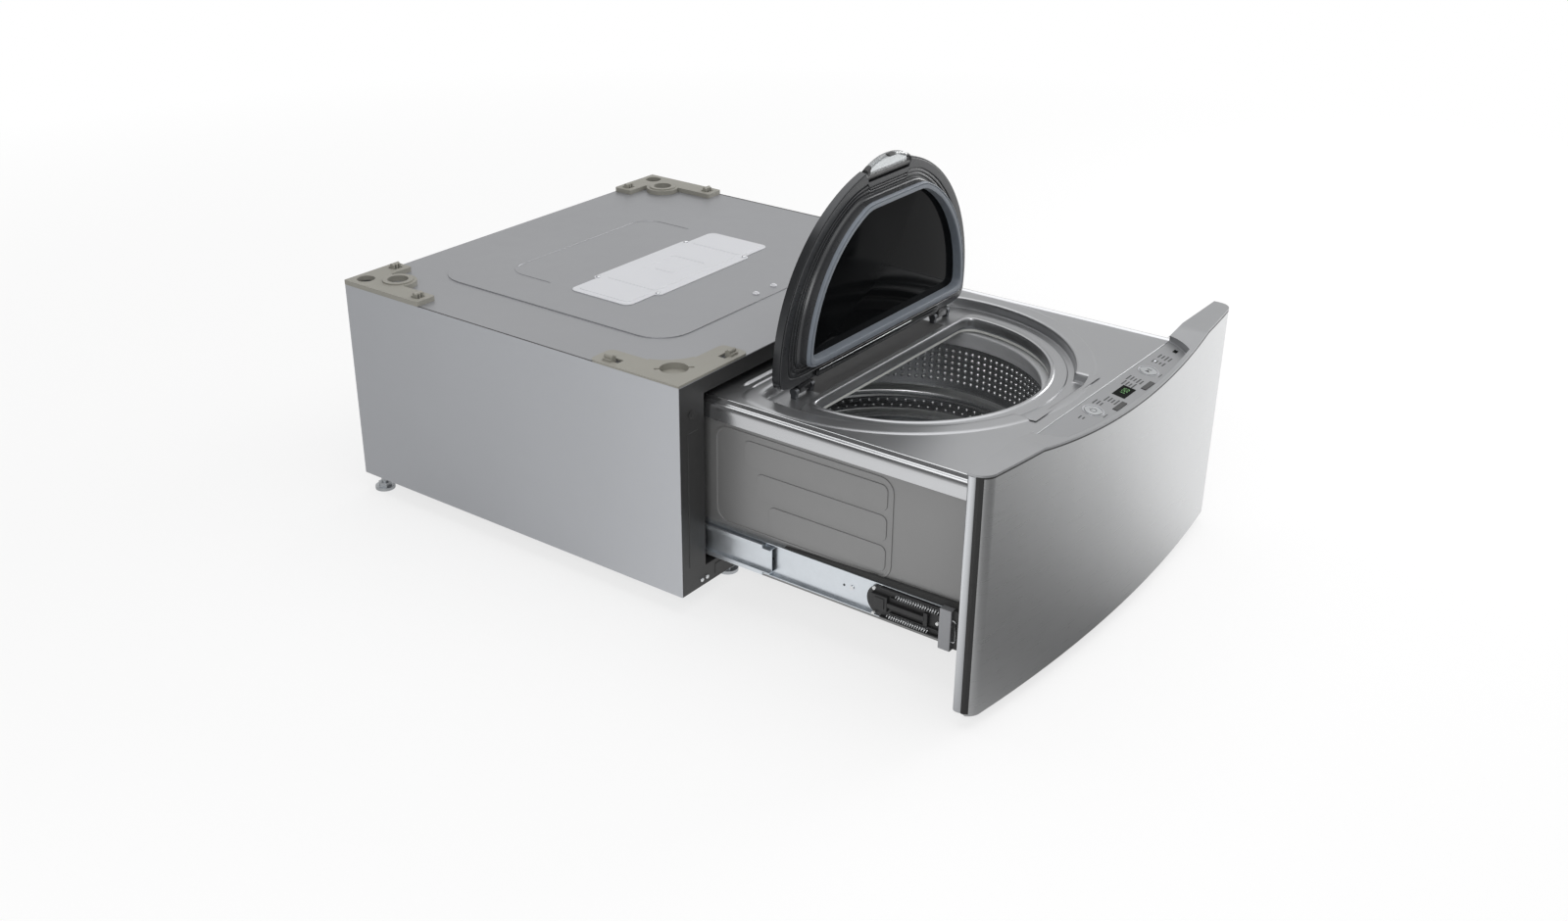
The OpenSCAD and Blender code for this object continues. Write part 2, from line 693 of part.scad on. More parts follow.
module drawer_top() color("#a8a9ab") {
    inner_x = drawer_x - 18;
    difference() {
        union() {
            block([-inner_x, panel_back, top_under], [inner_x, drawer_back, drawer_z1]);
            // raised apron round the recess
            slab(drawer_z1 - cut, drawer_z1 + 1.2) intersection() {
                d_flat(recess_r + 30, hinge_y + 46, 60);
                translate([-inner_x, panel_back + 8]) square([2 * inner_x, drawer_len]);
            }
            slab(recess_z - top_t, drawer_z1) d_flat(recess_r + 4, hinge_y + 32, 32);
            block([-bay_x - 4, bay_y - 4, recess_z - top_t], [bay_x + 4, drum_cy, drawer_z1]);
            slab(recess_z - top_t, drawer_z1) ring_flat();
            // neck of the mouth
            slab(neck_z, recess_z) mouth_flat(3);
        }
        slab(recess_z, drawer_z1 + 4) {
            d_flat(recess_r, hinge_y + 28, 28);
            translate([-bay_x, bay_y]) square([2 * bay_x, recess_r / 2]);
        }
        slab(neck_z - cut, drawer_z1) mouth_flat(0);
    }
    // rim round the mouth, with the catch for the latch on its flat front
    slab(recess_z - cut, rim_z) difference() {
        ring_flat();
        mouth_flat(0);
    }
    block([-15, mouth_chord - ring_w - 9, recess_z - cut], [15, mouth_chord - ring_w + cut, rim_z - 0.5]);
    both_sides() drawer_edge();
    // two stiffening ribs behind the lid
    for (y = [cab_front - 7, cab_front - 22]) intersection() {
        translate([-215, y, drawer_z1 - 2]) rotate([0, 90, 0]) cylinder(r = 4.4, h = 430);
        block([-220, y - 6, top_under], [220, y + 6, drawer_z1 + 4]);
    }
}

// Nested pressed shapes on a drawer side: y and z ranges from the cabinet's front and the opening
module side_pressings() {
    y0 = panel_back + 134;
    z0 = runner_z1 + 4;
    length = 276;
    height = top_under - skirt_h - z0 - 6;
    bar = (height - 14) / 3;
    for (i = [0:2]) slab_x(1.4)
        rounded([y0 + 9, z0 + 7 + i * bar + 3], [y0 + length - 88 + 20 * i, z0 + 7 + (i + 1) * bar - 3], 9);
    slab_x(1.4) difference() {
        rounded([y0, z0], [y0 + length, z0 + height], 20);
        rounded([y0 + 3, z0 + 3], [y0 + length - 3, z0 + height - 3], 17);
    }
}

module slab_x(t) translate([side_x, 0, 0]) rotate([90, 0, 90]) linear_extrude(t) children();

module drawer_side() {
    block([side_x - sheet, panel_back, drawer_z0], [side_x, drawer_back, wall_top]);
    side_pressings();
}

module drawer_side_left() color("#86878a") on_left() drawer_side();
module drawer_side_right() color("#86878a") drawer_side();

module drawer_chassis() color("#808184") {
    w = side_x - sheet;
    block([-w, panel_back, drawer_z0], [w, drawer_back, drawer_z0 + sheet]);
    block([-w, drawer_back - sheet, drawer_z0], [w, drawer_back, wall_top]);
}

trim_back = panel_back - trim_w;
groove = 4;

module front_skin() color("#8d8d8f") {
    intersection() {
        slab(panel_low, panel_top) intersection() {
            difference() { panel_flat(0); panel_flat(skin_t); }
            translate([-cab_w, panel_apex - cut]) square([2 * cab_w, trim_back - groove - panel_apex + cut]);
        }
        under_dip(cap_t + 0.6);
    }
    slab(panel_low, panel_low + skin_t) intersection() {
        panel_flat(0);
        translate([-cab_w, panel_apex - cut]) square([2 * cab_w, trim_back - groove - panel_apex + cut]);
    }
}

module trim_space() both_sides() translate([half_w - trim_w, trim_back]) square([trim_w + cut, trim_w + cut]);

module front_liner() color("#2b2b2c") difference() {
    slab(panel_low + skin_t, liner_top) difference() { panel_flat(skin_t); trim_space(); }
    slab(panel_low + skin_t + 3, liner_top + cut) difference() {
        panel_flat(skin_t + 3);
        both_sides() translate([half_w - trim_w - 3, trim_back - 3]) square(2 * trim_w);
        translate([-cab_w, panel_back - 3]) square([2 * cab_w, 10]);
    }
}

module front_end_trims() color("#c6c7c9") both_sides() slab(panel_low + 1, cap_z - 0.6)
    rounded([half_w - trim_w, trim_back], [half_w, panel_back], 3);

module front_cap() color("#77787a") difference() {
    union() {
        intersection() {
            slab(liner_top, panel_top) panel_flat(0);
            difference() { under_dip(0); under_dip(cap_t); }
        }
        intersection() {
            slab(liner_top, panel_top) difference() { panel_flat(skin_t); trim_space(); }
            under_dip(cap_t);
        }
    }
    // recess above the control panel, and the smaller well under it
    intersection() {
        slab(liner_top, panel_top + cut) recess_flat(0);
        sloped() block([-cab_w, -cab_w, -ctrl_t], [cab_w, cut, cab_w]);
    }
    slab(liner_top - cut, panel_top) intersection() {
        recess_flat(-3);
        translate([-cab_w, panel_apex]) square([2 * cab_w, panel_back - 3 - panel_apex]);
    }
    // hollow ends
    both_sides() slab(liner_top - cut, cap_z - 3) intersection() {
        panel_flat(skin_t + 3);
        translate([recess_x + 6, panel_apex])
            square([half_w - recess_x - 11 - trim_w, panel_back - 3 - panel_apex]);
    }
}

power_pos = [-70, ctrl_y + 6];
start_pos = [88, ctrl_y + 6];
key_left_pos = [-32, ctrl_y - 12];
key_right_pos = [49, ctrl_y - 12];
display_pos = [8, ctrl_y + 2];

module key_hole(p, w, d) translate([p[0] - w / 2, p[1] - d / 2]) square([w, d]);

module control_panel() color("#9b9c9e") difference() {
    intersection() {
        slab(liner_top, panel_top) recess_flat(-run_gap);
        sloped() block([-cab_w, -cab_w, -ctrl_t], [cab_w, cab_w, 0]);
    }
    sloped() {
        for (p = [power_pos, start_pos]) translate([p[0], p[1], -ctrl_t - cut])
            cylinder(r = round_key_r + run_gap, h = ctrl_t + 2 * cut);
        slab(-ctrl_t - cut, cut) {
            for (p = [key_left_pos, key_right_pos]) key_hole(p, key_w + 2 * run_gap, key_d + 2 * run_gap);
            key_hole(display_pos, display_w, display_d);
        }
    }
}

module display_window() color("#101312") sloped()
    slab(-ctrl_t, 0.3) key_hole(display_pos, display_w, display_d);

key_top = 0.8;                       // heights of the keys in the sloping frame
key_low = -ctrl_t - 3;

module round_key(p) sloped() translate([p[0], p[1], key_low]) {
    cylinder(r = round_key_r, h = key_top - key_low);
    translate([0, 0, -1]) cylinder(r = 4, h = 1);
}

module oblong_key(p) sloped() slab(key_low, key_top) key_hole(p, key_w, key_d);

module power_button() color("#b9babc") round_key(power_pos);
module start_button() color("#b9babc") round_key(start_pos);
module option_key_left() color("#4a4a4c") oblong_key(key_left_pos);
module option_key_right() color("#4a4a4c") oblong_key(key_right_pos);

board_z = key_low - 1 - key_travel - 1.5;

board_x = 116;                       // half length of the circuit board
board_y0 = ctrl_y - 11;
board_y1 = ctrl_y + 18;
post = 4;

module control_board() color("#2f5d3a") sloped() {
    block([-board_x, board_y0, board_z - 1.6], [board_x, board_y1, board_z]);
    for (x = [-board_x + post, board_x - 2 * post], y = [board_y0 + 1, board_y1 - post - 1])
        block([x, y, board_z], [x + post, y + post, -ctrl_t]);
    block([display_pos[0] - display_w / 2 + 3, display_pos[1] - display_d / 2 + 2, board_z],
          [display_pos[0] + display_w / 2 - 3, display_pos[1] + display_d / 2 - 2, -ctrl_t]);
    for (x = [-90, -20, 50])
        block([x, board_y0 + 5, board_z - 9], [x + 24, board_y1 - 10, board_z - 1.6]);
}

// ---- lid hinge ----

module hinge_ear(x0, x1) {
    translate([x0, hinge_y, hinge_z]) rotate([0, 90, 0]) cylinder(r = knuckle_r + 0.4, h = x1 - x0);
    block([x0, hinge_y - 4, recess_z], [x1, hinge_y + 4, hinge_z]);
}

module hinge_brackets() color("#6e6f72") both_sides() {
    hinge_ear(knuckle_x0 - 7, knuckle_x0 - run_gap);
    hinge_ear(knuckle_x1 + run_gap, knuckle_x1 + 7);
    translate([knuckle_x0 - 7, hinge_y, hinge_z]) rotate([0, 90, 0])
        cylinder(r = pin_r, h = knuckle_x1 - knuckle_x0 + 14);
}

// ---- lid, drawn shut and turned about its hinge ----

module opened() translate([0, hinge_y, hinge_z]) rotate([-lid_open, 0, 0])
    translate([0, -hinge_y, -hinge_z]) children();

lid_low = hinge_z - 5;
lid_high = lid_low + lid_t;
lid_rear = hinge_y - lid_setback;
collar_low = lid_low - collar_h;
window_g = -26;                      // how far the window lies inside the mouth's outline
latch_w = 52;
latch_reach = 24;                    // length of the latch's grip
latch_y = hinge_y - 251;             // rear edge of the latch
latch_front = latch_y - 5 - latch_reach;

module latch_notch() translate([-latch_w - 0.5, latch_y - 60]) square([2 * latch_w + 1, 60.5]);

module lid_frame() color("#4b4c4f") opened() {
    difference() {
        union() {
            slab(lid_low, lid_high) difference() {
                d_flat(lid_r, lid_rear, 20);
                latch_notch();
            }
            slab(collar_low, lid_low) mouth_flat(-5);
        }
        slab(collar_low - cut, lid_low) mouth_flat(-12);
        slab(lid_low - cut, lid_high + cut) mouth_flat(window_g);
    }
    // knuckles that turn on the hinge pins
    both_sides() difference() {
        union() {
            translate([knuckle_x0, hinge_y, hinge_z]) rotate([0, 90, 0])
                cylinder(r = knuckle_r, h = knuckle_x1 - knuckle_x0);
            block([knuckle_x0, lid_rear - 2, hinge_z - 3], [knuckle_x1, hinge_y, hinge_z + 3]);
        }
        translate([knuckle_x0 - cut, hinge_y, hinge_z]) rotate([0, 90, 0])
            cylinder(r = pin_r + bore_gap, h = knuckle_x1 - knuckle_x0 + 2 * cut);
    }
    // bar along the hinge
    block([-knuckle_x0 + 8, lid_rear - 11, lid_low - 4], [knuckle_x0 - 8, lid_rear - 1, lid_low]);
    // grooved step between the flange and the collar
    slab(lid_low - 2.5, lid_low) difference() {
        intersection() {
            mouth_flat(-2);
            translate([-cab_w, drum_cy - cab_w]) square([2 * cab_w, cab_w - 4]);
        }
        mouth_flat(-5);
    }
}

module lid_rim() color("#d7d9db") opened() slab(lid_low + 2, lid_high + 1) difference() {
    d_flat(lid_r + 2, lid_rear + 2, 22);
    d_flat(lid_r, lid_rear, 20);
    translate([-cab_w, lid_rear - 6]) square([2 * cab_w, 100]);
    latch_notch();
}

module lid_cover() color("#1b1c1e") opened() slab(lid_high, lid_high + 3.5) difference() {
    d_flat(lid_r - 1, lid_rear, 20);
    latch_notch();
}

module lid_window() color("#0c0d0e") opened() slab(lid_low - 5, lid_low) mouth_flat(-12);

module lid_gasket() color("#7f8790") opened() slab(collar_low - 3, collar_low) difference() {
    mouth_flat(-5);
    mouth_flat(-17);
}

latch_pivot = [0, latch_y - 5, hinge_z];

module lid_latch() color("#cfd6da") opened() {
    translate([-latch_w, latch_pivot[1], latch_pivot[2]]) rotate([0, 90, 0])
        cylinder(r = 4, h = 2 * latch_w);
    slab(hinge_z - 4, hinge_z + 7) intersection() {
        translate([-latch_w, latch_front]) square([2 * latch_w, latch_reach]);
        translate([0, drum_cy]) circle(r = drum_cy - latch_front);
    }
    // hook in front of the catch
    block([-8, latch_front + 0.2, hinge_z - 8], [8, latch_front + 3.7, hinge_z - 4]);
}

// ---- tub, drum and drive ----

module tub_axis() translate([0, drum_cy, 0]) children();

module rod_places() tub_axis() for (a = [rod_angle, 180 - rod_angle, 180 + rod_angle, -rod_angle])
    rotate([0, 0, a]) translate([rod_ring_r, 0, 0]) children();

ear_z = tub_floor + 8;
ear_h = 8;

module tub() color("#d9dad6") difference() {
    union() {
        tub_axis() translate([0, 0, tub_floor]) cylinder(r = tub_r, h = tub_top - tub_floor, $fn = 128);
        tub_axis() translate([0, 0, tub_floor - 12]) cylinder(r = housing_r, h = 28);
        rod_places() block([-34, -14, ear_z], [12, 14, ear_z + ear_h]);
    }
    tub_axis() difference() {
        translate([0, 0, tub_floor + tub_floor_t])
            cylinder(r = tub_r - tub_wall, h = tub_top, $fn = 128);
        translate([0, 0, tub_floor]) cylinder(r = housing_r, h = 16);
    }
    tub_axis() translate([0, 0, tub_floor - 12 - cut]) cylinder(r = shaft_r + 12, h = 30);
    rod_places() translate([0, 0, ear_z - cut]) cylinder(r = rod_r + run_gap, h = ear_h + 2 * cut);
}

module tub_bearings() color("#9a9da0") tub_axis() for (z = [tub_floor - 12, tub_floor + 6])
    translate([0, 0, z]) difference() {
        cylinder(r = shaft_r + 12, h = 9);
        translate([0, 0, -cut]) cylinder(r = shaft_r + bore_gap, h = 9 + 2 * cut);
    }

module tub_cover() color("#cfd0ce") slab(tub_top, tub_top + 4) difference() {
    translate([0, drum_cy]) circle(r = tub_r, $fn = 128);
    mouth_flat(2);
}

module tub_bellows() color("#8a8c8f") slab(tub_top + 4, neck_z) difference() {
    mouth_flat(8);
    mouth_flat(2);
}

module suspension_rods() color("#b4b7ba") rod_places() {
    translate([0, 0, ear_z - 14]) cylinder(r = rod_r, h = top_under - ear_z + 14);
    translate([0, 0, ear_z - 22]) cylinder(r = 12, h = 22);
    translate([0, 0, top_under - 10]) cylinder(r = 11, h = 10);
}

module drum() color("#c2c5c8") tub_axis() {
    difference() {
        union() {
            translate([0, 0, drum_floor]) cylinder(r = drum_r, h = drum_top - drum_floor, $fn = 128);
            translate([0, 0, tub_floor - 14]) cylinder(r = shaft_r, h = drum_floor - tub_floor + 14);
        }
        translate([0, 0, drum_floor + 1.5]) cylinder(r = drum_r - 1.2, h = drum_top, $fn = 128);
        translate([0, 0, tub_floor - 14 - cut]) cylinder(r = inner_shaft_r + bore_gap, h = 60);
    }
}

module balance_ring() color("#c9cacb") tub_axis() translate([0, 0, drum_top]) difference() {
    cylinder(r = drum_r + 5, h = ring_h, $fn = 128);
    translate([0, 0, -cut]) cylinder(r = drum_r - 14, h = ring_h + 2 * cut, $fn = 128);
}

hub_r = 0.28 * pulsator_r;           // pulsator's hub at its foot

module pulsator() color("#8d9195") tub_axis() {
    z = drum_floor + 4;
    translate([0, 0, z]) cylinder(r = pulsator_r, h = 4, $fn = 128);
    translate([0, 0, z + 4]) cylinder(r1 = hub_r, r2 = hub_r - 16, h = 8);
    for (a = [0:60:300]) rotate([0, 0, a]) translate([0, 0, z + 4])
        block([hub_r - 18, -5, 0], [pulsator_r - 12, 5, 9]);
    translate([0, 0, rotor_z]) cylinder(r = inner_shaft_r, h = z - rotor_z);
}

boss_r = inner_shaft_r + 14;         // rotor's boss round the shaft
core_r = housing_r + 28;             // stator's raised core

module motor_rotor() color("#56595c") tub_axis() translate([0, 0, rotor_z]) difference() {
    cylinder(r = rotor_r, h = 24);
    translate([0, 0, 3]) difference() {
        cylinder(r = rotor_r - 4, h = 24);
        cylinder(r = boss_r, h = 9);
    }
    translate([0, 0, -cut]) cylinder(r = inner_shaft_r, h = 30);
}

module motor_stator() color("#b87333") tub_axis() translate([0, 0, stator_z]) difference() {
    union() {
        cylinder(r = rotor_r - 7, h = 18);
        cylinder(r = core_r, h = 22);
    }
    translate([0, 0, -cut]) cylinder(r = housing_r, h = 30);
    for (a = [0:30:330]) rotate([0, 0, a]) translate([84, 0, -cut]) cylinder(r = 7, h = 20);
}

module drain_pump() color("#3f4245") translate([side_x - 127, drum_cy + 178, drawer_z0 + sheet]) {
    cylinder(r = 27, h = 26);
    translate([0, -24, 16]) rotate([0, 0, 0]) cylinder(r = 9, h = tub_floor - drawer_z0 - sheet - 16);
    translate([20, 0, 10]) rotate([0, 90, 0]) cylinder(r = 9, h = 34);
}

side_panel_left();
side_panel_right();
top_panel();
rear_panel();
base_pan();
front_frame();
access_cover();
cabinet_screws();
top_clips();
corner_plates_front();
corner_plates_rear();
frame_bumpers();
runner_rail_left();
runner_rail_right();
inlet_valves();
drain_outlet();
power_inlet();
foot_front_left();
foot_front_right();
foot_rear_left();
foot_rear_right();
runner_middle_left();
runner_middle_right();
drawer_top();
drawer_side_left();
drawer_side_right();
drawer_chassis();
front_skin();
front_liner();
front_end_trims();
front_cap();
control_panel();
display_window();
runner_slide_left();
runner_slide_right();
soft_close_units();
runner_end_caps();
hinge_brackets();
tub();
tub_cover();
tub_bellows();
tub_bearings();
suspension_rods();
motor_stator();
drain_pump();
control_board();
lid_frame();
lid_rim();
lid_cover();
lid_window();
lid_gasket();
lid_latch();
drum();
balance_ring();
pulsator();
motor_rotor();
power_button();
start_button();
option_key_left();
option_key_right();
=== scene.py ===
import json
import math

import bmesh
import bpy
from mathutils import Matrix, Vector


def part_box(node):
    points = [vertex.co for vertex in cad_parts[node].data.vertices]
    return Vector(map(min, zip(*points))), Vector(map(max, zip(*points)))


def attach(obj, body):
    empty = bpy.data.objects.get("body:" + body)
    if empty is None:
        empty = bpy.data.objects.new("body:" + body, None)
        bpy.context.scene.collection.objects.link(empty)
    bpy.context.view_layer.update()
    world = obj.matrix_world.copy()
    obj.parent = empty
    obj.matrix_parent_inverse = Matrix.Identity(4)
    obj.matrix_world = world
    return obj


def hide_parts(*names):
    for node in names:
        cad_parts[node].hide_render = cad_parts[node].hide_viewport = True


print("washer: loading the frame")
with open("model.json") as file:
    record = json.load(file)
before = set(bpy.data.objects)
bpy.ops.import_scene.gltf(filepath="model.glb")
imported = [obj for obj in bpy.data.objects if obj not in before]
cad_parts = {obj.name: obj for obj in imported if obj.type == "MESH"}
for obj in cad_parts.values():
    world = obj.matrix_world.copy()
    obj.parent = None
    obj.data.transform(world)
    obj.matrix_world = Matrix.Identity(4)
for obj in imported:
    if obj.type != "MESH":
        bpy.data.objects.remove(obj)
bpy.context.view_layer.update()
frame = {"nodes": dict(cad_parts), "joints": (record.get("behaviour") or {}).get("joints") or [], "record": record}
nodes = frame["nodes"]
mm = 0.001


def jointNamed(name):
    return next(j for j in frame["joints"] if j["name"] == name)


# Places that the pieces are built from, in metres
hinge = Vector(jointNamed("lid_hinge")["pos_m"])
openAngle = math.radians(jointNamed("lid_hinge")["range_deg"][1])
drumY = jointNamed("drum_spin")["pos_m"][1]
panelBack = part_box("drawer_side_left")[0].y
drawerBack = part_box("drawer_side_left")[1].y
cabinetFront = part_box("side_panel_left")[0].y
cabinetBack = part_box("side_panel_left")[1].y
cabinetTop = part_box("side_panel_left")[1].z
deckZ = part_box("drawer_side_left")[1].z + 6 * mm


# Small helpers for the materials
def toLinear(hexColour):
    channels = [int(hexColour[i:i + 2], 16) / 255 for i in (1, 3, 5)]
    return tuple(c / 12.92 if c <= 0.04045 else ((c + 0.055) / 1.055) ** 2.4 for c in channels) + (1.0,)


def addNode(tree, kind, settings=None, links=None):
    node = tree.nodes.new(kind)
    for key, value in (settings or {}).items():
        if isinstance(key, int) or key in node.inputs:
            node.inputs[key].default_value = value
        else:
            setattr(node, key, value)
    for key, source in (links or {}).items():
        tree.links.new(source, node.inputs[key])
    return node


def startMaterial(name, settings):
    material = bpy.data.materials.new(name)
    material.use_nodes = True
    tree = material.node_tree
    tree.nodes.clear()
    shader = addNode(tree, "ShaderNodeBsdfPrincipled", settings)
    addNode(tree, "ShaderNodeOutputMaterial", links={"Surface": shader.outputs["BSDF"]})
    place = addNode(tree, "ShaderNodeTexCoord").outputs["Object"]
    return material, tree, shader, place


def shadeOf(hexColour, factor):
    r, g, b, a = toLinear(hexColour)
    return (min(1, r * factor), min(1, g * factor), min(1, b * factor), a)


def spread(tree, source, low, high):
    ranged = addNode(tree, "ShaderNodeMapRange", {"To Min": low, "To Max": high}, {"Value": source})
    return ranged.outputs["Result"]


def tint(tree, source, dark, light):
    mixed = addNode(tree, "ShaderNodeMixRGB", {"Color1": dark, "Color2": light}, {"Fac": source})
    return mixed.outputs["Color"]


def noise(tree, place, sizeMm, detail=2.0, roughness=0.5, stretch=None):
    vector = place
    if stretch:
        vector = addNode(tree, "ShaderNodeMapping", {"Scale": stretch}, {"Vector": place}).outputs["Vector"]
    settings = {"Scale": 1000.0 / sizeMm, "Detail": detail, "Roughness": roughness}
    return addNode(tree, "ShaderNodeTexNoise", settings, {"Vector": vector}).outputs["Fac"]


def bump(tree, height, depthMm, strength):
    settings = {"Distance": depthMm * mm, "Strength": strength}
    return addNode(tree, "ShaderNodeBump", settings, {"Height": height}).outputs["Normal"]


# What every finish varies: its tone between two shades, its gloss between two values, and its relief
def vary(made, hexColour, tone, shades, gloss, glosses, relief=None):
    material, tree, shader, place = made
    colour = tint(tree, tone, shadeOf(hexColour, shades[0]), shadeOf(hexColour, shades[1]))
    tree.links.new(colour, shader.inputs["Base Color"])
    tree.links.new(spread(tree, gloss, *glosses), shader.inputs["Roughness"])
    if relief:
        tree.links.new(bump(tree, *relief), shader.inputs["Normal"])
    return material


# Coated sheet steel: rolled sheet sprayed with a metallic silver coat. The eye gets a soft satin
# sheen, a faint orange peel and a slow drift of tone over a large panel.
def coatedSteel(name, hexColour, roughness=0.42, metallic=0.35, drift=0.05, peelMm=3.0, peelDepth=0.02):
    made = startMaterial(name, {"Metallic": metallic, "Coat Weight": 0.12, "Coat Roughness": 0.25})
    tree, place = made[1], made[3]
    return vary(made, hexColour, noise(tree, place, 260, 2.0, 0.4), (1 - drift, 1 + drift),
                noise(tree, place, 40, 3.0), (roughness - 0.04, roughness + 0.05),
                (noise(tree, place, peelMm, 1.0), peelDepth, 0.6))


# Brushed stainless steel: belt-ground along one direction. Fine bright and dark hairlines run that
# way, drawn about 0.6 mm apart where the real ones are finer, and the gloss spreads across them.
def brushedSteel(name, hexColour, roughness, stretch, metallic=0.9, contrast=0.06, grainTurn=0.0):
    made = startMaterial(name, {
        "Metallic": metallic, "Anisotropic": 0.5, "Anisotropic Rotation": grainTurn})
    tree, place = made[1], made[3]
    hairs = noise(tree, place, 1.2, 3.0, 0.6, stretch)
    slow = noise(tree, place, 180, 2.0)
    both = addNode(tree, "ShaderNodeMath", {"operation": "MULTIPLY_ADD"},
                   {0: hairs, 1: slow, 2: spread(tree, hairs, 0.0, 0.6)}).outputs[0]
    return vary(made, hexColour, both, (1 - contrast, 1 + contrast),
                hairs, (roughness - 0.05, roughness + 0.08), (hairs, 0.012, 0.5))


# Moulded plastic: ABS or polypropylene from a spark-eroded tool. The fine grain breaks the gloss, and
# handled areas are a little smoother than the rest.
def mouldedPlastic(name, hexColour, roughness=0.45, grainMm=1.6, grainDepth=0.02, drift=0.04, metallic=0.0):
    made = startMaterial(name, {"Metallic": metallic, "IOR": 1.5})
    tree, place = made[1], made[3]
    return vary(made, hexColour, noise(tree, place, 70, 3.0), (1 - drift, 1 + drift),
                noise(tree, place, 24, 3.0), (roughness - 0.06, roughness + 0.06),
                (noise(tree, place, grainMm, 2.0, 0.6), grainDepth, 0.7))


# Zinc-plated steel: roll-formed and plated. It is bright and slightly blue, with drawing lines along
# the rail and a cloudy passivation film.
def zincSteel(name, hexColour, roughness=0.3, stretch=(40, 1, 40)):
    made = startMaterial(name, {"Metallic": 0.95})
    tree, place = made[1], made[3]
    lines = noise(tree, place, 30, 3.0, 0.6, stretch)
    cloud = noise(tree, place, 18, 4.0, 0.6)
    return vary(made, hexColour, cloud, (0.88, 1.08), cloud, (roughness - 0.08, roughness + 0.12),
                (lines, 0.03, 0.5))


# Bright chrome plate on plastic: a mirror with faint finger smears.
def chromePlate(name, hexColour, roughness):
    made = startMaterial(name, {"Metallic": 1.0})
    tree, place = made[1], made[3]
    smear = noise(tree, place, 14, 4.0, 0.65)
    return vary(made, hexColour, smear, (0.94, 1.0), smear, (roughness * 0.6, roughness * 1.6),
                (noise(tree, place, 9, 1.0), 0.01, 0.3))


# Moulded rubber: matt and slightly dusty, with a soft bloom on its high spots.
def softRubber(name, hexColour, roughness=0.68):
    made = startMaterial(name, {"Sheen Weight": 0.15, "Sheen Roughness": 0.5})
    tree, place = made[1], made[3]
    bloom = noise(tree, place, 12, 4.0, 0.6)
    return vary(made, hexColour, bloom, (0.88, 1.18), bloom, (roughness - 0.08, roughness + 0.1),
                (noise(tree, place, 1.4, 2.0), 0.03, 0.7))


# Back-painted toughened glass: black paint seen through clear float glass, so it mirrors the room
# sharply, with a trace of wiping marks in the gloss.
def blackGlass(name, hexColour, roughness):
    made = startMaterial(name, {"Specular IOR Level": 0.025})
    tree, place = made[1], made[3]
    wiping = noise(tree, place, 60, 3.0, 0.6, (1, 3, 1))
    return vary(made, hexColour, wiping, (0.8, 1.6), wiping, (roughness, roughness + 0.07),
                (noise(tree, place, 120, 1.0), 0.02, 0.3))


# Clear polycarbonate: it shows what is behind it, bent at its thick edges, with moulding swirls.
def clearPlastic(name, hexColour, roughness):
    made = startMaterial(name, {"Transmission Weight": 0.75, "IOR": 1.58})
    swirl = noise(made[1], made[3], 16, 3.0, 0.6)
    return vary(made, hexColour, swirl, (0.8, 1.0), swirl, (roughness, roughness + 0.08), (swirl, 0.06, 0.4))


# Enamelled copper wire on a coil: even rounded turns with a reddish varnish gloss.
def copperWinding(name, hexColour):
    made = startMaterial(name, {"Metallic": 0.9, "Coat Weight": 0.4})
    turns = addNode(made[1], "ShaderNodeTexWave", {
        "Scale": 260.0, "Distortion": 0.6, "bands_direction": "Z"}, {"Vector": made[3]}).outputs["Fac"]
    return vary(made, hexColour, turns, (0.55, 1.15), turns, (0.5, 0.28), (turns, 0.3, 0.8))


# Glass-fibre circuit board: green solder mask with a faint weave and lighter tracks.
def circuitBoard(name, hexColour):
    material, tree, shader, place = startMaterial(name, {
        "IOR": 1.5, "Coat Weight": 0.3, "Coat Roughness": 0.2})
    tracks = addNode(tree, "ShaderNodeTexBrick", {
        "Scale": 90.0, "Mortar Size": 0.06, "Color1": shadeOf(hexColour, 1.0),
        "Color2": shadeOf(hexColour, 0.8), "Mortar": shadeOf(hexColour, 1.9)}, {"Vector": place})
    tree.links.new(tracks.outputs["Color"], shader.inputs["Base Color"])
    tree.links.new(spread(tree, noise(tree, place, 6, 2.0), 0.3, 0.45), shader.inputs["Roughness"])
    tree.links.new(bump(tree, tracks.outputs["Fac"], 0.05, 0.5), shader.inputs["Normal"])
    return material


# Lit characters of a display: an even glow behind the dark lens.
def litDigits(name, hexColour, strength):
    made = startMaterial(name, {"Emission Color": toLinear(hexColour), "Emission Strength": strength})
    glow = noise(made[1], made[3], 2.0, 1.0)
    return vary(made, hexColour, glow, (0.6, 0.9), glow, (0.3, 0.5))


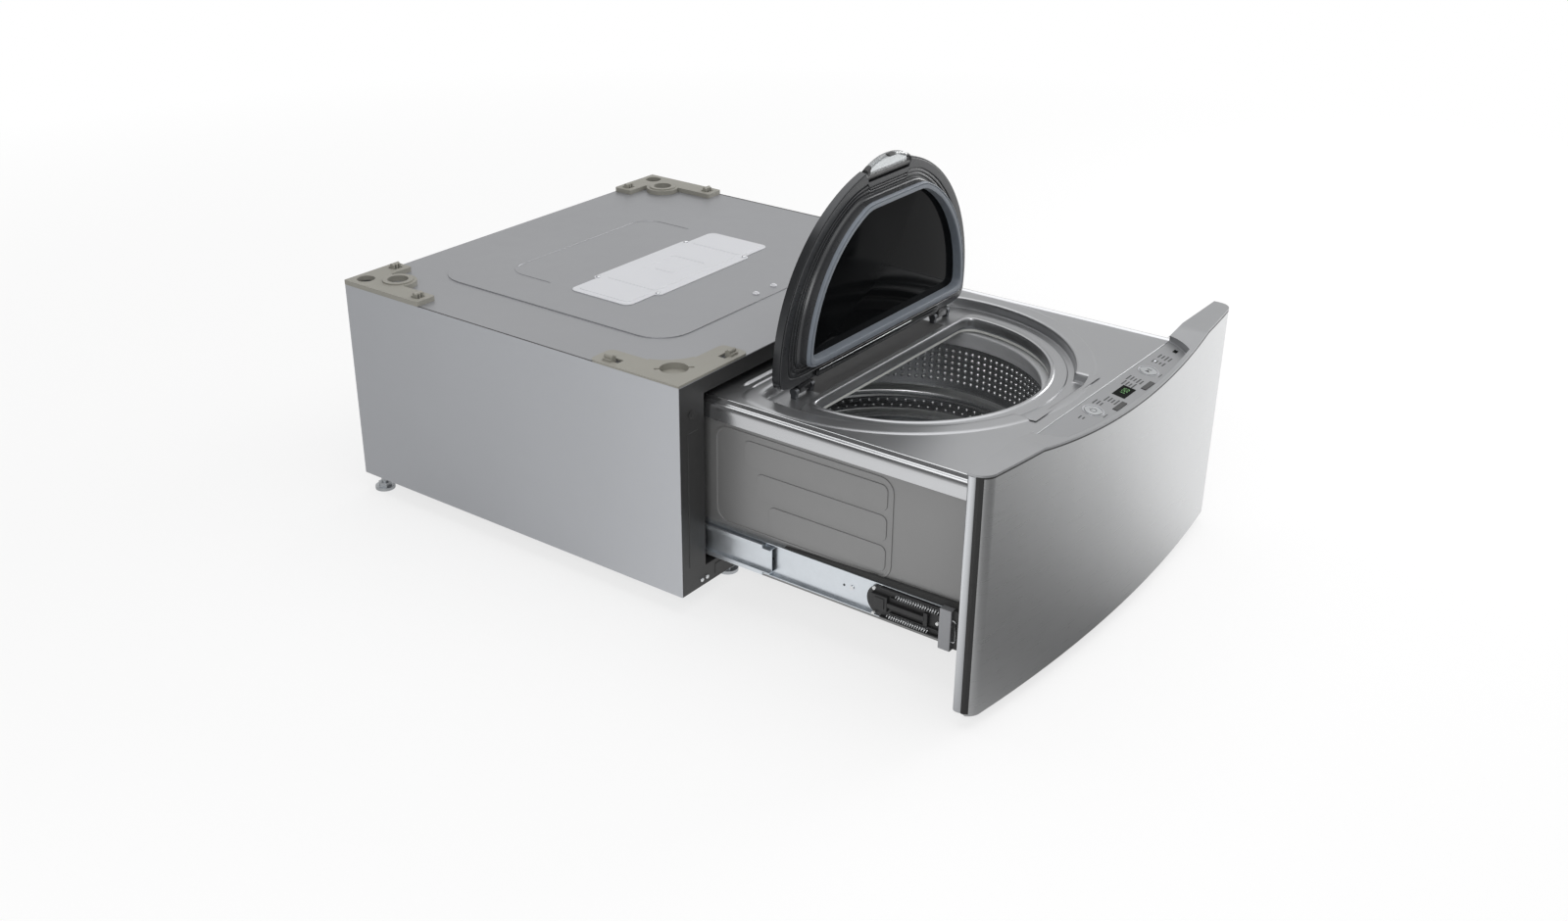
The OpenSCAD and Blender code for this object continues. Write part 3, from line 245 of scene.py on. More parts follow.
print("washer: mixing the finishes")
finishes = {
    "side_paint": coatedSteel("silverCoatedSteel", "#b2b4b8", 0.34, 0.75),
    "top_paint": coatedSteel("greyCoatedSteel", "#939497", 0.38, 0.5),
    "frame_paint": mouldedPlastic("charcoalFramePlastic", "#313131", 0.5, 2.2, 0.03),
    "white_plastic": mouldedPlastic("whitePolypropylene", "#cfd0d4", 0.42, 2.0, 0.015, 0.015),
    "plate_plastic": mouldedPlastic("warmGreyNylon", "#8e8c84", 0.5, 1.8, 0.03),
    "zinc_steel": zincSteel("zincPlatedRail", "#c9ced3"),
    "screw_steel": chromePlate("nickelScrewSteel", "#c9cbcd", 0.22),
    "chrome_trim": chromePlate("chromeTrim", "#c4c6c9", 0.2),
    "foot_metal": zincSteel("zincFootSteel", "#b9bcbf", 0.38, (1, 1, 60)),
    # Also the dark strips in the top seams, under the cap and in the end grooves: painted shade
    "black_rubber": softRubber("blackBufferRubber", "#1b1b1b"),
    "drawer_paint": coatedSteel("silverDeckSteel", "#a0a1a3", 0.3, 0.85, 0.03, 4.0, 0.004),
    # A brighter copy of the deck's steel for its rolled edges: painted highlight
    "rolledSteel": coatedSteel("brightRolledSteel", "#b9babc", 0.2, 0.95, 0.02, 4.0, 0.003),
    "drawer_side_paint": coatedSteel("greyDrawerSteel", "#838383", 0.4, 0.4),
    "front_steel": brushedSteel("brushedFrontSteel", "#bfc0c1", 0.28, (0.02, 0.02, 1), 0.95, 0.05, 0.25),
    # Also the dark blocks in the plate openings, the slide holes and in front of the runner caps: painted shade
    "dark_plastic": mouldedPlastic("blackLinerPlastic", "#242425", 0.5, 2.0, 0.03),
    "grey_plastic": mouldedPlastic("silverLacqueredCap", "#9b9c9e", 0.32, 1.8, 0.01, 0.03, 0.6),
    "panel_plastic": mouldedPlastic("silverControlPanel", "#8f9092", 0.36, 1.8, 0.012, 0.03, 0.5),
    "key_metal": chromePlate("satinKeyMetal", "#aeb0b2", 0.32),
    "display_glass": blackGlass("displayLens", "#0a0d0b", 0.08),
    "tub_plastic": mouldedPlastic("tubPolypropylene", "#d6d7d3", 0.5),
    "seal_rubber": softRubber("greyBellowsRubber", "#6f7174"),
    "drum_steel": brushedSteel("polishedDrumSteel", "#c6c7c8", 0.22, (0.05, 0.05, 1), 0.9, 0.05),
    "ring_plastic": mouldedPlastic("balanceRingPlastic", "#c4c5c6", 0.38),
    "pulsator_plastic": mouldedPlastic("pulsatorPlastic", "#5f6265", 0.3, 1.8, 0.015, 0.04, 0.5),
    "motor_steel": zincSteel("laminatedMotorSteel", "#8c8f92", 0.4, (1, 1, 80)),
    "motor_copper": copperWinding("copperWinding", "#b06a3c"),
    "bearing_steel": chromePlate("groundBearingSteel", "#a6a9ac", 0.25),
    "lid_plastic": mouldedPlastic("darkLidPlastic", "#38393b", 0.28, 1.8, 0.01, 0.05, 0.2),
    "lid_black": mouldedPlastic("glossBlackLid", "#161719", 0.16, 4.0, 0.004, 0.05),
    "lid_glass": blackGlass("blackLidGlass", "#0b0c0d", 0.04),
    "latch_plastic": clearPlastic("clearLatchPlastic", "#e6eaec", 0.06),
    "board_green": circuitBoard("greenCircuitBoard", "#2f5d3a"),
    "hingeSteel": zincSteel("hingeBracketSteel", "#5c5e61", 0.5, (1, 1, 60)),
    "darkRim": mouldedPlastic("darkLidRim", "#3a3b3d", 0.22, 4.0, 0.004, 0.04, 0.5),
    "legendInk": mouldedPlastic("greyPadPrint", "#252628", 0.5, 1.0, 0.002, 0.02),
    "litDigits": litDigits("litGreenDigits", "#6fae66", 0.14),
    "ledLens": litDigits("whiteLed", "#f4f6ff", 1.0),
    "paleRing": mouldedPlastic("paleRingPlastic", "#c9cacc", 0.35, 1.8, 0.01, 0.04, 0.1),
    "ribbedSeal": softRubber("blueGreyLidSeal", "#6d747d", 0.45),
    "springSteel": zincSteel("springWire", "#e2e4e6", 0.25, (1, 1, 1)),
    "whitePin": mouldedPlastic("whitePinPlastic", "#dedfdf", 0.4),
}

slotOf = {part["node"]: part["material_slot"] for part in frame["record"]["subparts"]}
slotOf["hinge_brackets"] = "hingeSteel"
# The lid rim, chrome in the part file, takes a dark glossy finish: partly its own dark, partly a painted dark
# reflection
slotOf["lid_rim"] = "darkRim"


# How every piece's edges are cleaned, rounded and shaded
edgeCare = {"weldMm": 0.01, "flatDegrees": 0.6, "sharpDegrees": 35, "segments": 2, "smoothDegrees": 32}


def smoothGroup():
    group = bpy.data.node_groups.new("smoothByEdge", "GeometryNodeTree")
    group.interface.new_socket("Geometry", in_out="INPUT", socket_type="NodeSocketGeometry")
    group.interface.new_socket("Geometry", in_out="OUTPUT", socket_type="NodeSocketGeometry")
    start = addNode(group, "NodeGroupInput")
    angle = addNode(group, "GeometryNodeInputMeshEdgeAngle").outputs["Unsigned Angle"]
    flat = addNode(group, "FunctionNodeCompare", {"operation": "LESS_THAN"})
    group.links.new(angle, flat.inputs[0])
    flat.inputs[1].default_value = math.radians(edgeCare["smoothDegrees"])
    faces = addNode(group, "GeometryNodeSetShadeSmooth", {"domain": "FACE"}, {"Geometry": start.outputs[0]})
    edges = addNode(group, "GeometryNodeSetShadeSmooth", {"domain": "EDGE"}, {
        "Geometry": faces.outputs[0], "Shade Smooth": flat.outputs["Result"]})
    addNode(group, "NodeGroupOutput", links={"Geometry": edges.outputs[0]})
    return group


smoothing = smoothGroup()


def softenEdges(piece, widthMm):
    weld = piece.modifiers.new("weld", "WELD")
    weld.merge_threshold = edgeCare["weldMm"] * mm
    flatten = piece.modifiers.new("flatten", "DECIMATE")
    flatten.decimate_type = "DISSOLVE"
    flatten.angle_limit = math.radians(edgeCare["flatDegrees"])
    if widthMm:
        bevel = piece.modifiers.new("edges", "BEVEL")
        bevel.width = widthMm * mm
        bevel.segments = edgeCare["segments"]
        bevel.limit_method = "ANGLE"
        bevel.angle_limit = math.radians(edgeCare["sharpDegrees"])
        bevel.use_clamp_overlap = True
    shadeEvenly(piece)


def shadeEvenly(piece):
    piece.modifiers.new("smooth", "NODES").node_group = smoothing
    evenly = piece.modifiers.new("evenly", "WEIGHTED_NORMAL")
    evenly.keep_sharp = True


def makePiece(name, vertices, faces, finish, body, slot):
    mesh = bpy.data.meshes.new(name)
    mesh.from_pydata([tuple(v) for v in vertices], [], faces)
    work = bmesh.new()
    work.from_mesh(mesh)
    bmesh.ops.remove_doubles(work, verts=work.verts, dist=1e-6)
    bmesh.ops.recalc_face_normals(work, faces=work.faces)
    work.to_mesh(mesh)
    work.free()
    piece = bpy.data.objects.new(name, mesh)
    bpy.context.scene.collection.objects.link(piece)
    mesh.materials.append(finishes[finish])
    shadeEvenly(piece)
    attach(piece, body)
    return piece


def joinShapes(shapes):
    vertices, faces = [], []
    for shapeVertices, shapeFaces in shapes:
        start = len(vertices)
        vertices += shapeVertices
        faces += [tuple(start + i for i in face) for face in shapeFaces]
    return vertices, faces


def loft(loops, closed=False, capEnds=False):
    count = len(loops[0])
    vertices = [p for loop in loops for p in loop]
    faces = []
    rows = len(loops) if closed else len(loops) - 1
    for row in range(rows):
        a, b = row * count, (row + 1) % len(loops) * count
        faces += [(a + i, a + (i + 1) % count, b + (i + 1) % count, b + i) for i in range(count)]
    if capEnds:
        faces += [tuple(range(count)), tuple(range(len(vertices) - 1, len(vertices) - 1 - count, -1))]
    return vertices, faces


# A ring of points about an upright axis, for turned shapes
def turned(profile, centre, steps=96, capEnds=False):
    loops = [[Vector((centre[0] + r * math.cos(a), centre[1] + r * math.sin(a), z))
              for a in (2 * math.pi * i / steps for i in range(steps))] for r, z in profile]
    return loft(loops, capEnds=capEnds)


# A block with rounded edges between two corners
def softBlock(low, high, radius):
    low, high = Vector(low), Vector(high)
    r = min(radius, *[(high[i] - low[i]) / 2.01 for i in range(3)])
    loops = []
    for z, inset in ((low.z, r), (low.z + r * 0.3, r * 0.3), (low.z + r, 0), (high.z - r, 0),
                     (high.z - r * 0.3, r * 0.3), (high.z, r)):
        loop = []
        for cx, cy, start in ((high.x - r, high.y - r, 0), (low.x + r, high.y - r, 90),
                              (low.x + r, low.y + r, 180), (high.x - r, low.y + r, 270)):
            for step in range(4):
                a = math.radians(start + 30 * step)
                loop.append(Vector((cx + (r - inset) * math.cos(a), cy + (r - inset) * math.sin(a), z)))
        loops.append(loop)
    return loft(loops, capEnds=True)


def tube(points, radius, steps):
    loops = []
    for i, p in enumerate(points):
        along = (points[min(i + 1, len(points) - 1)] - points[max(i - 1, 0)]).normalized()
        side = along.cross(Vector((0, 0, 1)))
        if side.length < 1e-3:
            side = along.cross(Vector((1, 0, 0)))
        side.normalize()
        up = side.cross(along)
        loops.append([p + side * radius * math.cos(a) + up * radius * math.sin(a)
                      for a in (2 * math.pi * k / steps for k in range(steps))])
    return loft(loops, capEnds=True)


def moved(shape, matrix):
    return [matrix @ Vector(v) for v in shape[0]], shape[1]


# A block on the left or the right, from its distances off the middle
def sideBlock(side, spanX, spanY, spanZ, radius):
    x0, x1 = sorted(side * x for x in spanX)
    return softBlock((x0, spanY[0], spanZ[0]), (x1, spanY[1], spanZ[1]), radius)


def inMetres(points):
    return [tuple(value * mm for value in point) for point in points]


# D-shaped outlines round the mouth
outlineY = drumY - 85 * mm       # the point that the outlines are drawn round
cornerPower = 22                 # higher is a tighter corner where the rear edge cuts the circle
flatPower = 60                   # the same where a straight front edge cuts it


def drawOutline(angles, circleY, radius, rear, notch=None, bay=None, front=None):
    points = []
    for a in angles:
        c, s = math.cos(a), math.sin(a)
        off = outlineY - circleY
        reach = -off * s + math.sqrt(max(radius * radius - off * off * c * c, 0))
        if s > 0.02:
            line = (rear - outlineY) / s
            reach = (reach ** -cornerPower + line ** -cornerPower) ** (-1 / cornerPower)
        if front is not None and s < -0.02:
            line = (front - outlineY) / s
            reach = (reach ** -flatPower + line ** -flatPower) ** (-1 / flatPower)
        if bay and s < -0.02:
            reach = max(reach, min(bay[0] / max(abs(c), 1e-6), (bay[1] - outlineY) / s))
        if notch and s < -0.02 and abs(reach * c) < notch[0]:
            floor = (notch[1] - outlineY) / s
            reach = floor if abs(floor * c) < notch[0] else notch[0] / abs(c)
        points.append((reach * c, outlineY + reach * s))
    return points


def boxOutline(angles, halfWidth, front, rear):
    points = []
    for a in angles:
        c, s = math.cos(a), math.sin(a)
        sideways = halfWidth / abs(c) if abs(c) > 1e-6 else 1e9
        lengthways = ((rear if s > 0 else front) - outlineY) / s if abs(s) > 1e-6 else 1e9
        reach = min(sideways, lengthways)
        points.append((reach * c, outlineY + reach * s))
    return points


def angleTo(x, y):
    return math.atan2(y - outlineY, x) % (2 * math.pi)


def atHeight(outline, z):
    return [Vector((x, y, z)) for x, y in outline]


print("washer: finishing the CAD nodes")
edgeWidths = {
    "side_panel_left": 0.7, "side_panel_right": 0.7, "top_panel": 0.7, "rear_panel": 0.5, "base_pan": 0,
    "front_frame": 0.6, "access_cover": 0.35, "corner_plates_front": 0.7, "corner_plates_rear": 0.7,
    "frame_bumpers": 0.5, "front_skin": 0.8, "front_cap": 0.7, "control_panel": 0.25, "front_end_trims": 0.4,
    "front_liner": 0.5, "drawer_side_left": 0.5, "drawer_side_right": 0.5, "lid_cover": 0.9,
    "lid_rim": 0.35, "runner_end_caps": 1.0, "soft_close_units": 0.6, "hinge_brackets": 0.5,
    "balance_ring": 1.2, "power_button": 0.4, "start_button": 0.4, "option_key_left": 0.4,
    "option_key_right": 0.4, "inlet_valves": 0.4, "drain_outlet": 0.4, "power_inlet": 0.4,
    "runner_rail_left": 0.3, "runner_rail_right": 0.3, "runner_middle_left": 0.3,
    "runner_middle_right": 0.3, "runner_slide_left": 0.3, "runner_slide_right": 0.3,
    "foot_front_left": 0.5, "foot_front_right": 0.5, "foot_rear_left": 0.5, "foot_rear_right": 0.5,
    "drawer_chassis": 0.4, "cabinet_screws": 0.2, "top_clips": 0.3, "tub": 0.6, "tub_cover": 0.5,
    "suspension_rods": 0.4, "drain_pump": 0.6, "pulsator": 1.0, "motor_stator": 0, "motor_rotor": 0.4,
}
for nodeName, node in nodes.items():
    softenEdges(node, edgeWidths.get(nodeName, 0.2))
    node.data.materials.clear()
    node.data.materials.append(finishes[slotOf[nodeName]])

print("washer: pressing the drawer's deck")
deck = {
    "halfWidth": 269 * mm, "mouthRadius": 197 * mm, "mouthFore": 10 * mm, "mouthRear": 8 * mm,
    "ringSide": 24 * mm, "ringRear": 9 * mm, "recessRadius": 240 * mm, "recessRear": 28 * mm,
    "apronRadius": 266 * mm, "apronRear": 46 * mm, "bay": (82 * mm, -252 * mm), "sheet": 1.4 * mm,
}
mouthY = drumY - deck["mouthFore"]
bayPlace = (deck["bay"][0], drumY + deck["bay"][1])
deckAngles = sorted([2 * math.pi * i / 360 for i in range(360)]
                    + [angleTo(sx * deck["halfWidth"], y) for sx in (-1, 1) for y in (panelBack, drawerBack)]
                    + [angleTo(sx * bayPlace[0], bayPlace[1]) for sx in (-1, 1)])
# Each outline of the pressing: its circle's middle, its radius, its straight rear edge and its bay
pressings = {
    "mouth": (mouthY, deck["mouthRadius"], drumY + deck["mouthRear"], None),
    "ring": (mouthY, deck["mouthRadius"] + deck["ringSide"],
             drumY + deck["mouthRear"] + deck["ringRear"], None),
    "recess": (drumY, deck["recessRadius"], hinge.y + deck["recessRear"], bayPlace),
    "apron": (drumY, deck["apronRadius"], hinge.y + deck["apronRear"], None),
}
# The steps of each, as millimetres outwards and down
pressSteps = {
    "mouth": [(0, 22), (0, 14), (0.3, 11), (1.2, 9.6), (3, 8.9), (5, 9.1), (6.4, 10.2), (7.6, 10.9)],
    "ring": [(-9, 10.9), (-2.5, 10.6), (-0.8, 11), (0, 12), (0.6, 12.8), (2, 13)],
    "recess": [(-3, 13), (-1.4, 12.4), (-0.4, 11), (0, 9), (0, 3), (0.5, 1), (1.8, -0.4), (4, -1.1),
               (7, -1.25)],
    "apron": [(-5, -1.25), (-2, -1.1), (0, -0.6), (1.6, -0.1), (2.8, 0)],
}


def pressedLoop(kind, grow, drop):
    circleY, radius, rear, bay = pressings[kind]
    grow *= mm
    outline = drawOutline(deckAngles, circleY, radius + grow, rear + grow,
                          bay=bay and (bay[0] + grow, bay[1] - grow))
    return atHeight(outline, deckZ - drop * mm)


deckLoops = [pressedLoop(kind, grow, drop) for kind, steps in pressSteps.items() for grow, drop in steps]
deckLoops.append(atHeight(boxOutline(deckAngles, deck["halfWidth"], panelBack, drawerBack), deckZ))
deckPiece = makePiece("deckSheet", *loft(deckLoops), "drawer_paint", "drawer", "drawer_paint")
thicken = deckPiece.modifiers.new("sheet", "SOLIDIFY")
thicken.thickness = deck["sheet"]
thicken.offset = -1
deckPiece.modifiers.move(len(deckPiece.modifiers) - 1, 0)
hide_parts("drawer_top")


# A smooth line through the points
def smoothLine(points, steps=6):
    line = []
    padded = [points[0]] + list(points) + [points[-1]]
    for i in range(1, len(padded) - 2):
        p0, p1, p2, p3 = (Vector(p) for p in padded[i - 1:i + 3])
        for k in range(steps):
            t = k / steps
            line.append(0.5 * ((2 * p1) + (p2 - p0) * t + (2 * p0 - 5 * p1 + 4 * p2 - p3) * t * t
                               + (3 * p1 - p0 - 3 * p2 + p3) * t ** 3))
    line.append(Vector(padded[-1]))
    return line


# Rolled side edge: a ridge, a deep valley and a turned-down flange, in a brighter copy of the deck's steel that is
# a painted highlight
deckRoll = {
    "profile": [(-19, 0), (-17.5, 1), (-15.5, 2), (-13.5, 1.7), (-12, -0.4), (-10.5, -2.4), (-8.5, -3),
                (-6.5, -2.5), (-4.5, -2.7), (-2.6, -4.2), (-1, -7.2), (-0.2, -11.5)],
    "outerX": 287 * mm, "flange": (17, 24), "sheet": 1.3,
}
rollLine = smoothLine([(x, 0, z) for x, z in deckRoll["profile"]])
rollLine += [Vector((0, 0, -z)) for z in deckRoll["flange"]]
flangeStart = len(rollLine) * 0.75           # from here the sheet is offset sideways, before it downwards
rollInner = [p - Vector((deckRoll["sheet"], 0, 0) if i > flangeStart else (0, 0, deckRoll["sheet"]))
             for i, p in enumerate(rollLine)]
rollShapes = []
for side in (-1, 1):
    loops = [[Vector((side * (deckRoll["outerX"] + p.x * mm), y, deckZ + p.z * mm))
              for p in rollLine + rollInner[::-1]] for y in (panelBack, drawerBack)]
    rollShapes.append(loft(loops, capEnds=True))
makePiece("deckRolledEdges", *joinShapes(rollShapes), "rolledSteel", "drawer", "drawer_paint")

# Two half-round ribs across the deck behind the lid
deckRibs = {
    "fromCabinet": (7, 22), "foot": 1.0, "sunk": 0.15,
    "profile": [(-6, 0), (-4.2, 0.5), (-2.6, 1.7), (-1, 2.5), (1, 2.5), (2.6, 1.7), (4.2, 0.5), (6, 0)],
    "ends": [(-221, 0.05), (-218, 0.55), (-213, 1), (213, 1), (218, 0.55), (221, 0.05)],
}
ribShapes = []
for forward in deckRibs["fromCabinet"]:
    y = cabinetFront - forward * mm
    loops = []
    for x, scale in deckRibs["ends"]:
        loops.append([Vector((x * mm, y + py * mm, deckZ + (pz * scale - deckRibs["sunk"]) * mm))
                      for py, pz in deckRibs["profile"]]
                     + [Vector((x * mm, y, deckZ - deckRibs["foot"] * mm))])
    ribShapes.append(loft(loops, capEnds=True))
makePiece("deckRibs", *joinShapes(ribShapes), "drawer_paint", "drawer", "drawer_paint")

print("washer: turning the drum")
drum = {
    "wall": 206.8, "floor": 116, "top": 250, "skirtLow": 237, "steps": 180,
    "rows": [224, 214.4, 204.8, 195.2, 185.6, 176], "dimplesARow": 120, "dimple": (3.1, 2.0),
    "lowerRows": [138, 129, 120.5], "lowerDimples": 90, "lowerDimple": (2.6, 1.4), "lowerWall": 199,
}
drumCentre = (0, drumY)
floorZ = drum["floor"]
drumProfile = [
    (10, floorZ), (176, floorZ), (188, floorZ + 0.8), (195, floorZ + 4), (198.5, floorZ + 9),
    (drum["lowerWall"], 142), (198, 146), (196.4, 149.5), (196.4, 153.5), (198.5, 157), (203, 159.5),
    (205.8, 162), (drum["wall"], 166), (drum["wall"], drum["top"]), (208, drum["top"]), (208, 160),
    (200, 112), (16, 112), (16, 84), (10, 84), (10, floorZ)]
drumPiece = makePiece("drumShell", *turned(inMetres(drumProfile), drumCentre, drum["steps"]), "drum_steel",
                      "drum", "drum_steel")
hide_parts("drum")


# A low dome pressed inwards: its size is its radius and its rise
def dimple(angle, z, size, wallRadius):
    radius, rise = inMetres([size])[0]
    outward = Vector((math.cos(angle), math.sin(angle), 0))
    across = Vector((-math.sin(angle), math.cos(angle), 0))
    centre = Vector((*drumCentre, z * mm)) + outward * (wallRadius + 0.1) * mm
    loops = []
    for share, height in ((1, 0), (0.82, 0.42), (0.52, 0.82), (0.2, 1.0)):
        loops.append([centre - outward * rise * height
                      + (across * math.cos(b) + Vector((0, 0, math.sin(b)))) * radius * share
                      for b in (2 * math.pi * k / 10 for k in range(10))])
    return loft(loops, capEnds=True)


dimples = []
for z in drum["rows"]:
    for k in range(drum["dimplesARow"]):
        dimples.append(dimple(2 * math.pi * k / drum["dimplesARow"], z, drum["dimple"], drum["wall"]))
for row, z in enumerate(drum["lowerRows"]):
    for k in range(drum["lowerDimples"]):
        angle = 2 * math.pi * (k + 0.5 * (row % 2)) / drum["lowerDimples"]
        dimples.append(dimple(angle, z, drum["lowerDimple"], drum["lowerWall"]))
makePiece("drumDimples", *joinShapes(dimples), "drum_steel", "drum", "drum_steel")

# Balance ring with the skirt that hides the top of the drum's wall
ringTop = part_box("balance_ring")[1].z / mm
skirtLow, skirtWall = drum["skirtLow"], drum["wall"] - 0.6
skirt = [(208, drum["top"]), (skirtWall, drum["top"]), (skirtWall, skirtLow), (204.8, skirtLow - 1.6),
         (203.4, skirtLow), (202.6, skirtLow + 4), (200.8, 248), (197.5, 256), (196.5, ringTop - 2),
         (197.5, ringTop - 0.4), (199.5, ringTop), (210, ringTop), (212, ringTop - 0.6),
         (213, ringTop - 2), (213, drum["top"] + 1), (212, drum["top"]), (208, drum["top"])]
ringPiece = makePiece("balanceRingSkirt", *turned(inMetres(skirt), drumCentre, drum["steps"]), "paleRing",
                      "drum", "ring_plastic")
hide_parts("balance_ring")

print("washer: moulding the pulsator")
pulsator = {
    "radius": 165 * mm, "base": 120 * mm, "plate": 4.2, "blades": 6, "bladeHeight": 8.5, "twist": 0.35,
    "hubHeight": 11, "rimHeight": 1.6, "rings": 28, "steps": 192, "shaft": (8 * mm, 68 * mm),
}
base = pulsator["base"]
loops = []
for ring in range(pulsator["rings"] + 1):
    share = ring / pulsator["rings"]
    radius = pulsator["radius"] * max(share, 0.02)
    loop = []
    for k in range(pulsator["steps"]):
        a = 2 * math.pi * k / pulsator["steps"]
        sweep = math.sin(pulsator["blades"] * (a - share * pulsator["twist"])) * 0.5 + 0.5
        swell = math.sin(math.pi * min(1, max(0, (share - 0.12) / 0.84))) ** 0.8
        hub = pulsator["hubHeight"] * max(0, 1 - share / 0.3) ** 0.6
        rim = pulsator["rimHeight"] * max(0, (share - 0.93) / 0.07)
        height = pulsator["plate"] + max(pulsator["bladeHeight"] * sweep ** 3 * swell, hub) + rim
        loop.append(Vector((radius * math.cos(a), drumY + radius * math.sin(a), base + height * mm)))
    loops.append(loop)
loops.append([Vector((p.x, p.y, base)) for p in loops[-1]])
loops.append([Vector((p.x * 0.05, drumY + (p.y - drumY) * 0.05, base)) for p in loops[-1]])
shaftRadius, shaftLow = pulsator["shaft"]
shaft = turned([(shaftRadius, base + 1 * mm), (shaftRadius, shaftLow)], drumCentre, 32, True)
pulsatorPiece = makePiece("pulsatorDisc", *joinShapes([loft(loops[::-1], closed=True), shaft]),
                          "pulsator_plastic", "pulsator", "pulsator_plastic")
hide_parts("pulsator")

print("washer: building the lid")
lid = {
    "low": hinge.z - 5 * mm, "high": hinge.z + 7 * mm, "radius": 228 * mm, "rear": hinge.y - 10 * mm,
    "notch": (52.5 * mm, hinge.y - 250.5 * mm), "collarLow": hinge.z - 20 * mm, "sealDepth": 3 * mm,
    "flatFront": 12 * mm, "domeRise": 5.0, "domePower": 2.4,
}
low, collarLow = lid["low"], lid["collarLow"]
notchCircle = math.sqrt(lid["radius"] ** 2 - lid["notch"][0] ** 2)
lidAngles = sorted([2 * math.pi * i / 360 for i in range(360)]
                   + [angleTo(sx * lid["notch"][0], y) for sx in (-1, 1)
                      for y in (lid["notch"][1], drumY - notchCircle)])
toOpen = (Matrix.Translation(hinge) @ Matrix.Rotation(-openAngle, 4, "X") @ Matrix.Translation(-hinge))


def flangeLoop(grow, z):
    outline = drawOutline(lidAngles, drumY, lid["radius"] + grow * mm, lid["rear"] + grow * mm,
                          notch=lid["notch"])
    return atHeight(outline, z)


def collarLoop(grow, z):
    radius = deck["mouthRadius"] + grow * mm
    outline = drawOutline(lidAngles, mouthY, radius, drumY + deck["mouthRear"] + grow * mm,
                          front=mouthY - radius + lid["flatFront"])
    return atHeight(outline, z)


# Loops round the collar from millimetres outwards and millimetres above a height
def collarLoops(steps, z):
    return [collarLoop(grow, z + rise * mm) for grow, rise in steps]


# A loop part of the way from one to another
def between(first, second, share, z):
    return [Vector((a.x + (b.x - a.x) * share, a.y + (b.y - a.y) * share, z)) for a, b in zip(first, second)]


outerLoop, innerLoop = flangeLoop(-1.4, low), collarLoop(-2, low)
# Ridges between the flat band and the collar, as shares of the way in and heights in millimetres
ridges = [(0, 0.6), (0.38, 0.6), (0.42, 1.2), (0.44, 2.6), (0.5, 2.6), (0.52, 1.0), (0.55, 0.7), (0.6, 0.7),
          (0.63, 0.9), (0.65, 2.6), (0.71, 2.6), (0.73, 1.1), (0.76, 0.7), (0.82, 0.7), (0.85, 1.1),
          (0.87, 2.4), (0.92, 2.4), (0.94, 0.9), (1, 0.7)]
frameLoops = [collarLoop(-26, lid["high"]), flangeLoop(-0.6, lid["high"]),
              flangeLoop(0, lid["high"] - 0.6 * mm), flangeLoop(0, low + 1.6 * mm),
              flangeLoop(-0.5, low + 0.9 * mm)]
frameLoops += [between(outerLoop, innerLoop, share, low + height * mm) for share, height in ridges]
frameLoops += collarLoops([(-2.4, -0.6), (-3.2, -2.6), (-4.4, -3.4), (-4.8, -9)], low)
frameLoops += collarLoops([(-5.2, 0), (-10, 0)], collarLow) + collarLoops([(-10, -4), (-26, -4)], low)
framePiece = makePiece("lidFrame", *moved(loft(frameLoops, closed=True), toOpen), "lid_plastic", "lid",
                       "lid_plastic")
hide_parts("lid_frame")

# Ribbed seal round the collar
sealLow = collarLow - lid["sealDepth"]
sealLoops = [collarLoop(-5, collarLow + 2 * mm)]
sealLoops += collarLoops([(-5.1, 1.4), (-5.6, 0.3), (-6.4, 0), (-7, 1.2), (-7.6, 1.2), (-8.1, 0), (-12, 0),
                          (-13.4, 0.6), (-14.2, 2.4)], sealLow)
sealLoops += collarLoops([(-14.6, -5), (-10.5, -5)], low) + [collarLoop(-10.5, collarLow + 2 * mm)]
sealPiece = makePiece("lidSeal", *moved(loft(sealLoops, closed=True), toOpen), "ribbedSeal", "lid",
                      "seal_rubber")
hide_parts("lid_gasket")

# Domed black glass
glassEdge = collarLoop(-14.4, 0)
glassLoops = []
for share in (0.02, 0.2, 0.4, 0.6, 0.75, 0.88, 0.96, 1.0):
    dome = lid["domeRise"] * (1 - share ** lid["domePower"])
    glassLoops.append([Vector((p.x * share, outlineY + (p.y - outlineY) * share, low - (5.5 + dome) * mm))
                       for p in glassEdge])
glassLoops.append([Vector((p.x, p.y, low - 0.5 * mm)) for p in glassLoops[-1]])
glassPiece = makePiece("lidGlass", *moved(loft(glassLoops, capEnds=True), toOpen), "lid_glass", "lid",
                       "lid_glass")
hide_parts("lid_window")

# Hinge side: a dark channel with a thin bright strip, two damper housings and the knuckles' covers,
# each as half its width or its span off the middle, and its front and rear from the hinge
hingeParts = {
    "channel": (150, -20.4, -11), "gutter": (156, -18.5, 23), "damper": ((84, 152), -20.2, -12),
    "cover": ((158.2, 185.8), -14, 4.6), "strip": 0.7,
}


def fromHinge(*reaches):
    return [hinge.y + reach * mm for reach in reaches]


